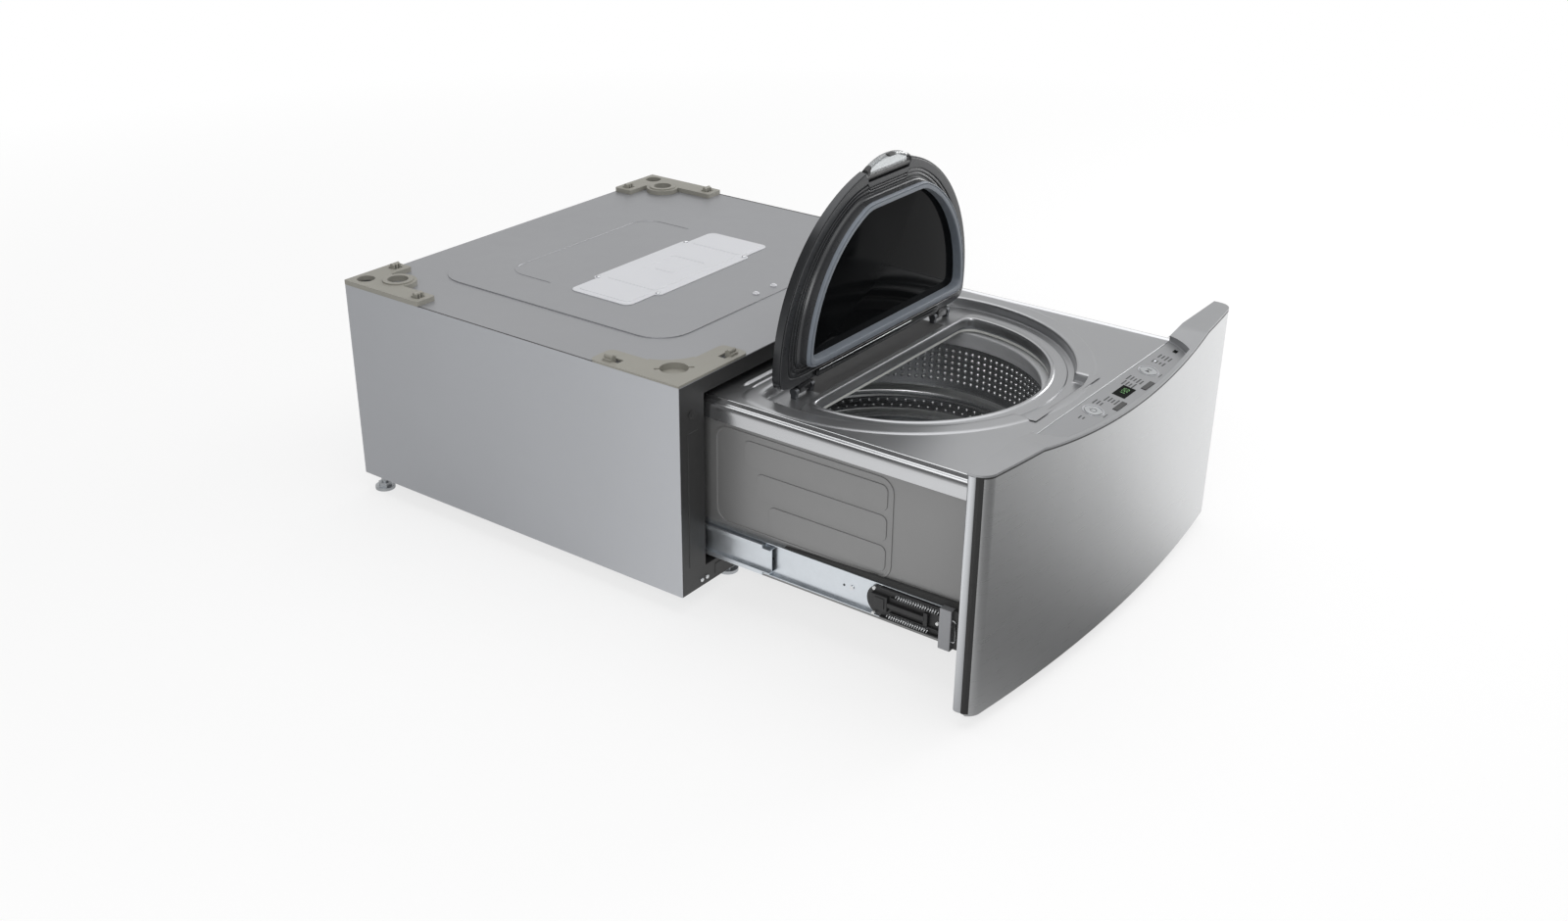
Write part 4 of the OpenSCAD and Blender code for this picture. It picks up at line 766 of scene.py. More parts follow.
half, *reaches = hingeParts["gutter"]
gutter = sideBlock(1, (-half * mm, half * mm), fromHinge(*reaches),
                   (deckZ - 13.3 * mm, deckZ - 12.75 * mm), 0.2 * mm)
makePiece("hingeGutter", *gutter, "black_rubber", "drawer", "black_rubber")
half, *reaches = hingeParts["channel"]
hingeShapes = [sideBlock(1, (-half * mm, half * mm), fromHinge(*reaches),
                         (low - 3.5 * mm, low + 1 * mm), 1.2 * mm)]
for side in (-1, 1):
    for part, zLow, zHigh, radius in (("damper", low - 3.7 * mm, low, 1.4),
                                      ("cover", hinge.z - 5 * mm, hinge.z + 5 * mm, 3.5)):
        span, *reaches = hingeParts[part]
        hingeShapes.append(sideBlock(side, (span[0] * mm, span[1] * mm), fromHinge(*reaches),
                                     (zLow, zHigh), radius * mm))
makePiece("hingeHousings", *moved(joinShapes(hingeShapes), toOpen), "lid_black", "lid", "lid_plastic")
stripLine = [Vector((x * mm, hinge.y - 19.4 * mm, low - 2.8 * mm)) for x in (-146, -60, 60, 80)]
makePiece("hingeStrip", *moved(tube(stripLine, hingeParts["strip"] * mm, 10), toOpen), "chrome_trim", "lid",
          "chrome_trim")

print("washer: building the latch")
latch = {
    "rear": -256, "front": -279.5, "low": -4, "high": 6, "halfWidth": 52, "arch": 13, "archPower": 2.2,
    "gripHalf": 43, "ends": (43.4, 51.4), "axle": 4, "hook": (8, -279.6, -276.5),
}


def latchSection(x, bulge):
    rear, front, lowZ, highZ = latch["rear"], latch["front"] + bulge, latch["low"], latch["high"]
    points = [(rear, lowZ + 2), (rear, highZ - 5), (rear - 1.4, highZ - 2.4), (rear - 5.6, highZ - 1.1),
              (rear - 8, highZ), (front + 5, highZ), (front + 2, highZ - 0.8), (front + 0.6, highZ - 2.4),
              (front, highZ - 4.5), (front, lowZ + 3), (front + 0.8, lowZ + 1), (front + 2.6, lowZ),
              (front + 4, lowZ + 0.5), (front + 5.5, lowZ + 1.6), (rear - 3, lowZ + 1.6),
              (rear - 1.6, lowZ + 0.8), (rear - 0.8, lowZ + 0.8), (rear - 0.3, lowZ + 1.2)]
    return [Vector((x * mm, hinge.y + y * mm, hinge.z + z * mm)) for y, z in points]


def latchBody(x0, x1, steps):
    loops = []
    for k in range(steps + 1):
        x = x0 + (x1 - x0) * k / steps
        bulge = (abs(x) / latch["halfWidth"]) ** latch["archPower"] * latch["arch"]
        loops.append(latchSection(x, bulge))
    return loft(loops, capEnds=True)


grip = latchBody(-latch["gripHalf"], latch["gripHalf"], 16)
gripPiece = makePiece("latchGrip", *moved(grip, toOpen), "latch_plastic", "lid_latch", "latch_plastic")
endIn, endOut = latch["ends"]
endShapes = [latchBody(sx * endIn, sx * endOut, 4) for sx in (-1, 1)]
axleLine = [Vector((x * mm, hinge.y + latch["rear"] * mm, hinge.z)) for x in (-endOut, -20, 20, endOut)]
endShapes.append(tube(axleLine, latch["axle"] * mm, 20))
hookHalf, *hookReach = latch["hook"]
endShapes.append(sideBlock(1, (-hookHalf * mm, hookHalf * mm), fromHinge(*hookReach),
                           (hinge.z - 8 * mm, hinge.z), 1 * mm))
makePiece("latchEnds", *moved(joinShapes(endShapes), toOpen), "dark_plastic", "lid_latch", "latch_plastic")
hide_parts("lid_latch")

print("washer: printing the control panel")
pressAxis = jointNamed("power_press")["axis"]
panelSlope = math.atan2(abs(pressAxis[1]), abs(pressAxis[2]))
slopeFrame = (Matrix.Translation((0, panelBack, deckZ + 30 * mm)) @ Matrix.Rotation(panelSlope, 4, "X"))
# Places across and along the sloping panel in millimetres, and heights off it
panelPrint = {
    "power": (-70, -20), "start": (88, -20), "display": (8, -24), "ringRadius": 13.2, "ringWidth": 1.6,
    "inkHeight": 0.12, "markLift": 0.75, "markHeight": 0.18, "digitLift": 0.28, "digitHeight": 0.1,
    "legends": [(-98, -16, 9, 1), (-46, -10, 14, 2), (-27, -17, 16, 3), (32, -12, 15, 3), (50, -10, 15, 4)],
    "table": (122, -11, 20, 5, (11, 15)), "status": (172, -20, 9, 6), "led": (123, -13),
}


def inkBar(x, y, w, d, lift=0.0, height=panelPrint["inkHeight"]):
    return softBlock(((x - w / 2) * mm, (y - d / 2) * mm, lift * mm),
                     ((x + w / 2) * mm, (y + d / 2) * mm, (lift + height) * mm), 0.3 * mm)


def flatRing(x, y, radius, width, lift, height, a0=0.0, a1=360.0, steps=48):
    loops = []
    whole = abs(a1 - a0 - 360) < 1e-6
    for k in range(steps + (0 if whole else 1)):
        a = math.radians(a0 + (a1 - a0) * k / steps)
        c, s = math.cos(a), math.sin(a)
        loops.append([Vector(((x + r * c) * mm, (y + r * s) * mm, z * mm)) for r, z in (
            (radius - width / 2, lift), (radius - width / 2, lift + height),
            (radius + width / 2, lift + height), (radius + width / 2, lift))])
    return loft(loops, closed=whole, capEnds=not whole)


rings = [flatRing(*panelPrint[k], panelPrint["ringRadius"], panelPrint["ringWidth"], -0.05, 0.55)
         for k in ("power", "start")]
makePiece("keyRings", *moved(joinShapes(rings), slopeFrame), "chrome_trim", "drawer", "key_metal")

ink = []
for x, y, w, rows in panelPrint["legends"]:
    for row in range(rows + 1):
        ink.append(inkBar(x + row % 2, y - 4.6 * row, w - 2.5 * (row % 3), 1.9))
tableX, tableY, columnStep, rowStep, widths = panelPrint["table"]
for row in range(4):
    for column, w in enumerate(widths):
        w -= (row + column) % 3 * 2
        ink.append(inkBar(tableX + columnStep * column, tableY - rowStep * row, w, 2.0))
for spot in ("power", "start"):
    x, y = panelPrint[spot]
    ink.append(inkBar(x, y - 17, 12, 1.3))
makePiece("panelLegends", *moved(joinShapes(ink), slopeFrame), "legendInk", "drawer", "panel_plastic")
makePiece("statusWindow", *moved(inkBar(*panelPrint["status"], 0, 0.2), slopeFrame), "display_glass",
          "drawer", "display_glass")
led = turned(inMetres([(0.05, 0.5), (0.9, 0.4), (1.3, 0)]), inMetres([panelPrint["led"]])[0], 24, True)
makePiece("statusLed", *moved(led, slopeFrame), "ledLens", "drawer", "display_glass")

# Marks on the two round keys: a broken ring with a bar, and a triangle with two bars
for keyName, spot, body in (("powerMark", "power", "power_button"), ("startMark", "start", "start_button")):
    x, y = panelPrint[spot]
    lift, height = panelPrint["markLift"], panelPrint["markHeight"]
    if keyName == "powerMark":
        shapes = [flatRing(x, y, 4.2, 0.9, lift, height, 120, 420, 30),
                  inkBar(x, y + 3.6, 0.9, 4.4, lift, height)]
    else:
        triangle = [Vector(((x + px) * mm, (y + py) * mm, z * mm)) for z in (lift, lift + height)
                    for px, py in ((-5, -3.4), (0.4, 0), (-5, 3.4))]
        shapes = [(triangle, [(0, 1, 2), (5, 4, 3), (0, 3, 4, 1), (1, 4, 5, 2), (2, 5, 3, 0)])]
        shapes += [inkBar(x + dx, y, 1.1, 6.4, lift, height) for dx in (2.2, 4.6)]
    makePiece(keyName, *moved(joinShapes(shapes), slopeFrame), "legendInk", body, "key_metal")

# Seven-segment digits behind the display's lens: each bar's place and whether it lies flat
segments = {"1": "bc", "3": "abgcd", "0": "abcdef"}
bars = {"a": (0, 3.6, True), "b": (1.9, 1.8, False), "c": (1.9, -1.8, False), "d": (0, -3.6, True),
        "e": (-1.9, -1.8, False), "f": (-1.9, 1.8, False), "g": (0, 0, True)}
displayX, displayY = panelPrint["display"]
glowing = (panelPrint["digitLift"], panelPrint["digitHeight"])
digits = []
for k, digit in enumerate("130"):
    cx = displayX - 6.5 + 6.6 * k + (1.2 if k else 0)
    for letter in segments[digit]:
        dx, dy, flatBar = bars[letter]
        size = (2.9, 0.8) if flatBar else (0.8, 3.0)
        digits.append(inkBar(cx + dx, displayY + dy, *size, *glowing))
digits += [inkBar(displayX - 2.6, displayY + dy, 1.1, 1.1, *glowing) for dy in (-1.5, 1.5)]
makePiece("displayDigits", *moved(joinShapes(digits), slopeFrame), "litDigits", "drawer", "display_glass")

print("washer: adding the runner details")
# Starts and ends are millimetres from the unit's rounded end, with a half height or a height
damper = {
    "depth": 12, "base": 7, "springRadius": 2.9, "wire": 0.55, "turns": 17,
    "springs": [(46, 106, 15.5), (34, 92, -15.5)], "pins": [(13, 18), (13, -18), (106, 0)],
    "carriage": (9, 33, 10.5), "slider": (33, 88, 3.2), "stop": (86, 92, 9),
}
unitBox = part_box("soft_close_units")
unitOut, unitRear, unitFront = unitBox[1].x / mm, unitBox[1].y / mm, unitBox[0].y / mm
unitZ = (unitBox[0].z + unitBox[1].z) / 2 / mm
unitHalf = (unitBox[1].z - unitBox[0].z) / 2 / mm
unitLength = unitRear - unitFront


# A block on the damper: distances from its rounded end, height about its middle, reach from its outer face
def damperBlock(side, start, end, low, high, inner, outer, radius=0.8):
    return sideBlock(side, ((unitOut - inner) * mm, (unitOut - outer) * mm),
                     ((unitRear - end) * mm, (unitRear - start) * mm),
                     ((unitZ + low) * mm, (unitZ + high) * mm), radius * mm)


onBase = damper["base"] + 0.5
bodies, springs, pins = [], [], []
for side in (-1, 1):
    nose = [(unitRear - unitHalf + unitHalf * math.cos(a), unitHalf * math.sin(a))
            for a in (math.pi * (k / 16 - 0.5) for k in range(17))]
    plate = nose + [(unitFront, unitHalf), (unitFront, -unitHalf)]
    bodies.append(loft([[Vector((side * (unitOut - reach) * mm, y * mm, (unitZ + z) * mm)) for y, z in plate]
                        for reach in (damper["depth"], damper["base"])], capEnds=True))
    for start, end, half in (damper["carriage"], damper["slider"], damper["stop"]):
        bodies.append(damperBlock(side, start, end, -half, half, onBase, 1.6))
    start, end, half = damper["carriage"]
    bodies.append(damperBlock(side, start + 6, end - 4, -half + 3, half - 3, 2, 0.4))
    for edge in (-1, 1):
        low, high = sorted((edge * unitHalf, edge * (unitHalf - 2)))
        bodies.append(damperBlock(side, unitHalf, unitLength, low, high, onBase, 3))
        low, high = sorted((edge * 11.5, edge * 10.2))
        bodies.append(damperBlock(side, 36, unitLength - 4, low, high, onBase, 3.5, 0.3))
    for start, end, z in damper["springs"]:
        steps = damper["turns"] * 9
        coil = []
        for k in range(steps + 1):
            a = 2 * math.pi * k / 9
            coil.append(Vector((side * (unitOut - 3.4 + damper["springRadius"] * math.cos(a)) * mm,
                                (unitRear - start - (end - start) * k / steps) * mm,
                                (unitZ + z + damper["springRadius"] * math.sin(a)) * mm)))
        springs.append(tube(coil, damper["wire"] * mm, 6))
    for start, z in damper["pins"]:
        centre = Vector((side * (unitOut - 4) * mm, (unitRear - start) * mm, (unitZ + z) * mm))
        pins.append(tube([centre, centre + Vector((side * 2.6 * mm, 0, 0))], 2.2 * mm, 16))
unitPiece = makePiece("damperBodies", *joinShapes(bodies), "dark_plastic", "drawer", "dark_plastic")
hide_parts("soft_close_units")
makePiece("damperSprings", *joinShapes(springs), "springSteel", "drawer", "zinc_steel")
makePiece("damperPins", *joinShapes(pins), "whitePin", "drawer", "white_plastic")

# End caps: a grey moulding on a black bracket that holds a wire loop. The bracket's black is partly its own and
# partly painted shade from the front panel on the cap's front
endCap = {"length": 17, "reach": 14, "bracketInset": 4, "wire": 0.9, "loopHalf": 15}
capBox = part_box("runner_end_caps")
capOut, capRear, capFront = capBox[1].x / mm, capBox[1].y / mm, capBox[0].y / mm
capLow, capHigh = capBox[0].z / mm, capBox[1].z / mm
capStart = capRear - endCap["length"]
inset, half = endCap["bracketInset"], endCap["loopHalf"]
wirePath = [(capStart, half), (capStart - 3, half), (capStart - 5, half - 2), (capStart - 5, 2 - half),
            (capStart - 3, -half), (capStart, -half)]
caps, bracketAndShadeShapes, loops = [], [], []
for side in (-1, 1):
    caps.append(sideBlock(side, ((capOut - endCap["reach"]) * mm, capOut * mm),
                          (capStart * mm, capRear * mm), (capLow * mm, capHigh * mm), mm))
    bracketAndShadeShapes.append(sideBlock(side, ((capOut - endCap["reach"]) * mm, (capOut - inset) * mm),
                              (capFront * mm, (capStart + 1) * mm), ((capLow + 3) * mm, capHigh * mm), mm))
    x = side * (capOut - inset + endCap["wire"]) * mm
    wire = [Vector((x, y * mm, ((capLow + capHigh) / 2 + z) * mm)) for y, z in wirePath]
    loops.append(tube(wire, endCap["wire"] * mm, 8))
capPiece = makePiece("runnerCaps", *joinShapes(caps), "top_paint", "drawer", "grey_plastic")
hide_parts("runner_end_caps")
makePiece("runnerBrackets", *joinShapes(bracketAndShadeShapes), "dark_plastic", "drawer", "dark_plastic")
makePiece("wireLoops", *joinShapes(loops), "springSteel", "drawer", "zinc_steel")

# Black strip on top of each runner, tapering towards the rear: places along and heights
stripSteps = [(capFront, 10), (unitRear, 7), (unitRear + 130, 1)]
strips = []
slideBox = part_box("runner_slide_right")
for side in (-1, 1):
    x0, x1 = side * slideBox[0].x, side * (slideBox[0].x + 5 * mm)
    sections = []
    for y, height in stripSteps:
        z0, z1 = slideBox[1].z, slideBox[1].z + height * mm
        sections.append([Vector((x, y * mm, z)) for x, z in ((x0, z0), (x1, z0), (x1, z1), (x0, z1))])
    strips.append(loft(sections, capEnds=True))
makePiece("runnerStrips", *joinShapes(strips), "black_rubber", "drawer", "black_rubber")

# Rivets, and painted shade in the holes, along the slides: places behind the damper and radii
slideMarks = {"rivets": [(26, 3.0), (240, 2.6)], "holes": [(38, 1.6), (150, 2.0)]}
slideHeights = {"rivets": 1.2, "holes": 0.25}
marks = {"rivets": [], "holes": []}
for side in (-1, 1):
    web = side * (slideBox[0].x + 1.5 * mm)
    for kind, places in slideMarks.items():
        for behind, radius in places:
            centre = Vector((web, (unitRear + behind) * mm, unitZ * mm))
            face = centre + Vector((side * slideHeights[kind] * mm, 0, 0))
            marks[kind].append(tube([centre, face], radius * mm, 18))
makePiece("slideRivets", *joinShapes(marks["rivets"]), "screw_steel", "drawer", "screw_steel")
makePiece("slideHoles", *joinShapes(marks["holes"]), "dark_plastic", "drawer", "dark_plastic")

print("washer: trimming the front panel")
front = {
    "trim": 12 * mm, "bulge": 3.2 * mm, "groove": 4 * mm, "corner": 20 * mm, "bow": 26 * mm,
    "dipX": 235 * mm, "dip": 20 * mm, "cap": 3.8 * mm, "seamProud": 0.12 * mm, "seamHalf": 1 * mm,
}
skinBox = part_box("front_skin")
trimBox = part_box("front_end_trims")
halfPanel = trimBox[1].x
trimStart = halfPanel - front["trim"]
bow = (panelBack - front["bow"]) - skinBox[0].y
bowRadius = (halfPanel ** 2 + bow ** 2) / (2 * bow)
bowY = skinBox[0].y + bowRadius
cornerX = halfPanel - front["corner"]
cornerY = bowY - math.sqrt((bowRadius - front["corner"]) ** 2 - cornerX ** 2)
trimMiddle = (trimBox[0].y + trimBox[1].y) / 2
trimHalf = (trimBox[1].y - trimBox[0].y) / 2
trimOutline = [(halfPanel - front["bulge"] * (1 - math.sin(a)), trimMiddle - trimHalf * math.cos(a))
               for a in (math.pi * k / 16 for k in range(17))]
trimOutline += [(trimStart, trimMiddle + trimHalf), (trimStart, trimMiddle - trimHalf)]
trimLow, trimHigh = trimBox[0].z, trimBox[1].z
# The trim draws in at its foot: heights and how far
trimSteps = [(trimLow, 2.4), (trimLow + 1.2 * mm, 0.8), (trimLow + 3 * mm, 0), (trimHigh, 0)]
# The dark strip round each rounded corner, a painted dark reflection, out and back, as lifts off the skin and
# angles
cornerDarkStrip = [(lift, math.radians(21 + 3 * k))
              for lift, order in ((0.2 * mm, range(6)), (-0.6 * mm, range(5, -1, -1))) for k in order]
trims, endShadeShapes = [], []
for side in (-1, 1):
    sections = [[Vector((side * max(x - pull * mm, trimStart), y, z)) for x, y in trimOutline]
                for z, pull in trimSteps]
    trims.append(loft(sections, capEnds=True))
    # A black block fills each groove between trim and skin: painted shade in the groove
    endShadeShapes.append(sideBlock(side, (halfPanel - 4.5 * mm, halfPanel - 1.2 * mm),
                             (trimBox[0].y - front["groove"] - 0.3 * mm, trimBox[0].y + 0.3 * mm),
                             (skinBox[0].z + 2 * mm, trimHigh), 0.3 * mm))
    sections = [[Vector((side * (cornerX + (front["corner"] + lift) * math.cos(a)),
                         cornerY - (front["corner"] + lift) * math.sin(a), z)) for lift, a in cornerDarkStrip]
                for z in (skinBox[0].z + 3 * mm, trimHigh)]
    endShadeShapes.append(loft(sections, capEnds=True))
trimPiece = makePiece("endTrims", *joinShapes(trims), "chrome_trim", "drawer", "chrome_trim")
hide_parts("front_end_trims")
makePiece("endGrooves", *joinShapes(endShadeShapes), "black_rubber", "drawer", "dark_plastic")

dipRadius = (front["dipX"] ** 2 + front["dip"] ** 2) / (2 * front["dip"])
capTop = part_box("front_cap")[1].z


def frontFace(x):
    if abs(x) < cornerX * bowRadius / (bowRadius - front["corner"]):
        return bowY - math.sqrt(bowRadius ** 2 - x * x)
    return cornerY - math.sqrt(max(front["corner"] ** 2 - (abs(x) - cornerX) ** 2, 0))


def frontTop(x):
    sag = dipRadius - math.sqrt(dipRadius ** 2 - min(abs(x), front["dipX"]) ** 2)
    return capTop - front["dip"] + sag


# A dark strip under the cap along the front: painted shade in the gap between the skin and the cap
seam = []
for k in range(97):
    x = -halfPanel * math.cos(math.pi * k / 96) * 0.999
    y0 = max(frontFace(x) - front["seamProud"], skinBox[0].y)
    z0 = frontTop(x) - front["cap"] - front["seamHalf"]
    y1, z1 = y0 + 1 * mm, z0 + 2 * front["seamHalf"]
    seam.append([Vector((x, y, z)) for y, z in ((y0, z0), (y0, z1), (y1, z1), (y1, z0))])
makePiece("capSeam", *loft(seam, capEnds=True), "black_rubber", "drawer", "dark_plastic")

# Raised edge round the control panel: straight at the back, round ends, and the bowed lip in front
panelEdge = {"endX": 120, "endY": 17, "endRadius": 76, "endTurn": 49, "lift": 0.3, "wire": 0.75}
startAngle = math.asin(panelEdge["endY"] / panelEdge["endRadius"])
border = []
for side in (1, -1):
    arc = []
    for k in range(13):
        a = -startAngle - (math.radians(panelEdge["endTurn"]) - startAngle) * k / 12
        arc.append(Vector((side * (panelEdge["endX"] + panelEdge["endRadius"] * math.cos(a)),
                           panelEdge["endY"] + panelEdge["endRadius"] * math.sin(a), panelEdge["lift"])))
    border += arc if side > 0 else arc[::-1]
    if side > 0:
        lipEnd = arc[-1]
        for k in range(1, 24):
            x = lipEnd.x * (1 - k / 12)
            y = lipEnd.y + (x * x - lipEnd.x ** 2) / (2 * bowRadius / mm)
            border.append(Vector((x, y, panelEdge["lift"])))
border.append(border[0])
edgeWire = tube([p * mm for p in border], panelEdge["wire"] * mm, 8)
makePiece("controlPanelEdge", *moved(edgeWire, slopeFrame), "key_metal", "drawer", "panel_plastic")

print("washer: adding the cabinet's details")
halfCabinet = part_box("side_panel_right")[1].x
# Dark strips along the top's side edges: painted shadow in the gaps between the side panels and the top panel
topSeamShadeShapes = [sideBlock(side, (halfCabinet - 2.8 * mm, halfCabinet - 0.7 * mm),
                   (cabinetFront + 1 * mm, cabinetBack - 2 * mm),
                   (cabinetTop - 0.3 * mm, cabinetTop + 0.35 * mm), 0.1 * mm) for side in (-1, 1)]
makePiece("topSeams", *joinShapes(topSeamShadeShapes), "black_rubber", "cabinet", "black_rubber")

# Painted shade in the openings beside the corner plates' clips and in the rear holes, as dark blocks and discs:
# distances from the corner, across and along
plates = {
    "front": [(108, 130, 11, 23), (11, 23, 110, 132)], "rear": [(74, 90, 10, 24), (10, 24, 128, 144)],
    "discs": [(22, 21, 12.6), (46, 62, 10)], "height": 0.6 * mm, "discHeight": 0.5 * mm,
}
plateTop, discTop = cabinetTop + plates["height"], cabinetTop + plates["discHeight"]
plateShadeShapes = []
for side in (-1, 1):
    for end, inward in (("front", 1), ("rear", -1)):
        corner = cabinetFront if end == "front" else cabinetBack
        for a0, a1, b0, b1 in plates[end]:
            spanY = sorted((corner + inward * b0 * mm, corner + inward * b1 * mm))
            plateShadeShapes.append(sideBlock(side, (halfCabinet - a0 * mm, halfCabinet - a1 * mm), spanY,
                                     (cabinetTop, plateTop), 0.2 * mm))
    for across, along, radius in plates["discs"]:
        centre = (side * (halfCabinet - across * mm), cabinetBack - along * mm)
        plateShadeShapes.append(turned([(0.05 * mm, discTop), (radius * mm, discTop), (radius * mm, cabinetTop)],
                              centre, 32, True))
makePiece("plateOpenings", *joinShapes(plateShadeShapes), "dark_plastic", "cabinet", "dark_plastic")

print("washer: setting the studio")
studio = {
    "floorHalf": 30, "floorGlow": 1.25, "floorTone": 0.8, "floorInGlossy": 0.85,
    "whitening": {"From Min": 0.9, "From Max": 3.0, "To Min": 0.72, "To Max": 1.0},
    "roomInGlossy": {"From Min": 0.0, "From Max": 0.85, "To Min": 0.6, "To Max": 1.0},
    "flagAim": (-0.5, 0.66, 0.56), "flag": {"From Min": 0.8, "From Max": 0.96, "To Min": 1.0, "To Max": 0.12},
    "ambient": 0.4,
}
half = studio["floorHalf"]
floorMesh = bpy.data.meshes.new("studioFloor")
floorMesh.from_pydata([(-half, -half, 0), (half, -half, 0), (half, half, 0), (-half, half, 0)], [],
                      [(0, 1, 2, 3)])
floor = bpy.data.objects.new("studioFloor", floorMesh)
bpy.context.scene.collection.objects.link(floor)
floorMaterial, tree, floorShader, floorPlace = startMaterial("paleStudioFloor", {"Roughness": 0.9})
paper = tint(tree, noise(tree, floorPlace, 900, 2.0), toLinear("#f6f6f6"), toLinear("#fafafa"))
tree.links.new(paper, floorShader.inputs["Base Color"])
seen = addNode(tree, "ShaderNodeLightPath")
# Mirrored in the washer, the floor is dim in front and on the left at the back, and bright on the right
around = addNode(tree, "ShaderNodeMapping", {"Location": (0, 0.25, 0)}, {"Vector": floorPlace})
turn = addNode(tree, "ShaderNodeTexGradient", {"gradient_type": "RADIAL"},
               {"Vector": around.outputs["Vector"]})
dimming = addNode(tree, "ShaderNodeValToRGB", links={"Fac": turn.outputs["Fac"]})
ramp = dimming.color_ramp
ramp.interpolation = "B_SPLINE"
stops = [(0.0, 0.9), (0.07, 0.7), (0.14, 0.05), (0.25, 0.06), (0.34, 0.5), (0.4, 1.0), (0.6, 1.0),
         (0.82, 0.22), (0.92, 1.0)]
while len(ramp.elements) < len(stops):
    ramp.elements.new(0.5)
for element, (spot, value) in zip(ramp.elements, stops):
    element.position = spot
    element.color = (value, value, value, 1)
tone = addNode(tree, "ShaderNodeMixRGB", {"Color1": (studio["floorTone"],) * 3 + (1,)}, {
    "Fac": seen.outputs["Is Glossy Ray"], "Color2": dimming.outputs["Color"]}).outputs["Color"]
away = addNode(tree, "ShaderNodeVectorMath", {"operation": "LENGTH"}, {0: floorPlace}).outputs["Value"]
whitening = addNode(tree, "ShaderNodeMapRange", studio["whitening"], {"Value": away}).outputs["Result"]
share = addNode(tree, "ShaderNodeMath", {"operation": "MULTIPLY"},
                {0: seen.outputs["Is Camera Ray"], 1: whitening})
share = addNode(tree, "ShaderNodeMath", {"operation": "MULTIPLY_ADD", 1: studio["floorInGlossy"]},
                {0: seen.outputs["Is Glossy Ray"], 2: share.outputs[0]})
glow = addNode(tree, "ShaderNodeEmission", {"Strength": studio["floorGlow"]}, {"Color": tone})
mix = addNode(tree, "ShaderNodeMixShader", links={
    "Fac": share.outputs[0], 1: floorShader.outputs["BSDF"], 2: glow.outputs["Emission"]})
floorOut = next(n for n in tree.nodes if n.type == "OUTPUT_MATERIAL")
tree.links.new(mix.outputs["Shader"], floorOut.inputs["Surface"])
floorMesh.materials.append(floorMaterial)

world = bpy.data.worlds.new("studioWorld")
bpy.context.scene.world = world
world.use_nodes = True
tree = world.node_tree
tree.nodes.clear()
path = addNode(tree, "ShaderNodeLightPath")
heading = addNode(tree, "ShaderNodeTexCoord").outputs["Generated"]
shown = addNode(tree, "ShaderNodeMath", {"operation": "MAXIMUM"},
                {0: path.outputs["Is Camera Ray"], 1: path.outputs["Is Transmission Ray"]}).outputs[0]
# Mirrored, the white room is a little greyer low down than overhead
skyward = addNode(tree, "ShaderNodeSeparateXYZ", links={"Vector": heading}).outputs["Z"]
room = addNode(tree, "ShaderNodeMapRange", studio["roomInGlossy"], {"Value": skyward}).outputs["Result"]
# A black flag hangs high at the back left and draws a dark line along every rolled edge
bearing = addNode(tree, "ShaderNodeVectorMath", {"operation": "DOT_PRODUCT", 1: studio["flagAim"]},
                  {0: heading}).outputs["Value"]
flag = addNode(tree, "ShaderNodeMapRange", studio["flag"], {"Value": bearing}).outputs["Result"]
mirrored = addNode(tree, "ShaderNodeMath", {"operation": "MULTIPLY"}, {0: room, 1: flag}).outputs[0]
ambient = addNode(tree, "ShaderNodeMixRGB", {"Color1": (studio["ambient"],) * 3 + (1,)},
                  {"Fac": path.outputs["Is Glossy Ray"], "Color2": mirrored}).outputs["Color"]
level = addNode(tree, "ShaderNodeMixRGB", {"Color2": (1, 1, 1, 1)},
                {"Fac": shown, "Color1": ambient}).outputs["Color"]
sky = addNode(tree, "ShaderNodeBackground", {"Strength": 1.0}, {"Color": level})
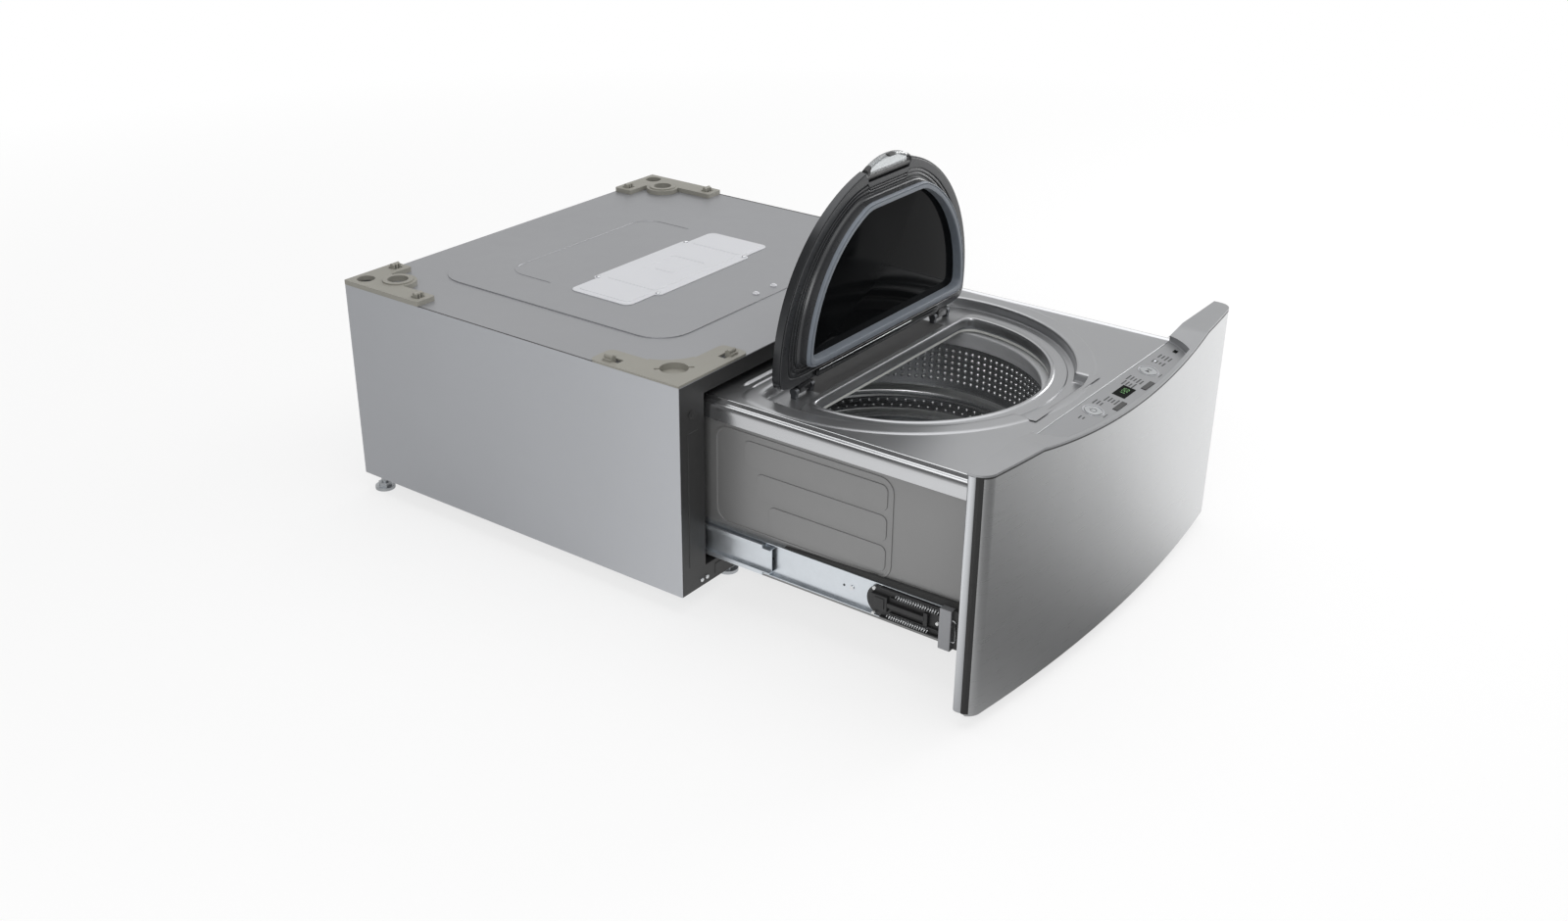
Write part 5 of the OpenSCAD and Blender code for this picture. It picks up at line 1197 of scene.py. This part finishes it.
addNode(tree, "ShaderNodeOutputWorld", links={"Surface": sky.outputs["Background"]})

lamps = {
    "overhead": {"place": (0.4, -0.2, 2.8), "aim": (0, -0.1, 0.2), "size": (4.2, 3.4), "power": 48},
    "frontRight": {"place": (3.0, -1.1, 1.0), "aim": (0.2, -0.5, 0.15), "size": (1.6, 1.6), "power": 46},
    "leftFill": {"place": (-2.6, -1.0, 1.7), "aim": (-0.2, 0.0, 0.2), "size": (1.6, 1.2), "power": 26},
}
for lampName, lamp in lamps.items():
    light = bpy.data.lights.new(lampName, "AREA")
    light.shape = "RECTANGLE"
    light.size, light.size_y = lamp["size"]
    light.energy = lamp["power"]
    holder = bpy.data.objects.new(lampName, light)
    bpy.context.scene.collection.objects.link(holder)
    holder.location = lamp["place"]
    direction = Vector(lamp["aim"]) - Vector(lamp["place"])
    holder.rotation_euler = direction.to_track_quat("-Z", "Y").to_euler()

print("washer: placing the camera")
camera = {
    "place": (-1.7989, -1.8426, 1.1547), "aim": (-0.2064, -0.6889, 0.1980), "roll": 0.63,
    "lens": 37.97, "sensor": 36,
}
eye = Vector(camera["place"]) + Vector((0, cabinetBack, 0))
aim = Vector(camera["aim"]) + Vector((0, cabinetBack, 0))
cameraData = bpy.data.cameras.new("mainCamera")
cameraData.lens = camera["lens"]
cameraData.sensor_width = camera["sensor"]
cameraObject = bpy.data.objects.new("mainCamera", cameraData)
bpy.context.scene.collection.objects.link(cameraObject)
ahead = (aim - eye).normalized()
right = ahead.cross(Vector((0, 0, 1))).normalized()
up = right.cross(ahead)
roll = math.radians(camera["roll"])
tiltedRight = right * math.cos(roll) + up * math.sin(roll)
tiltedUp = -right * math.sin(roll) + up * math.cos(roll)
cameraObject.matrix_world = Matrix((
    (tiltedRight.x, tiltedUp.x, -ahead.x, eye.x), (tiltedRight.y, tiltedUp.y, -ahead.y, eye.y),
    (tiltedRight.z, tiltedUp.z, -ahead.z, eye.z), (0, 0, 0, 1)))
bpy.context.scene.camera = cameraObject
bpy.context.scene.view_settings.view_transform = "Standard"
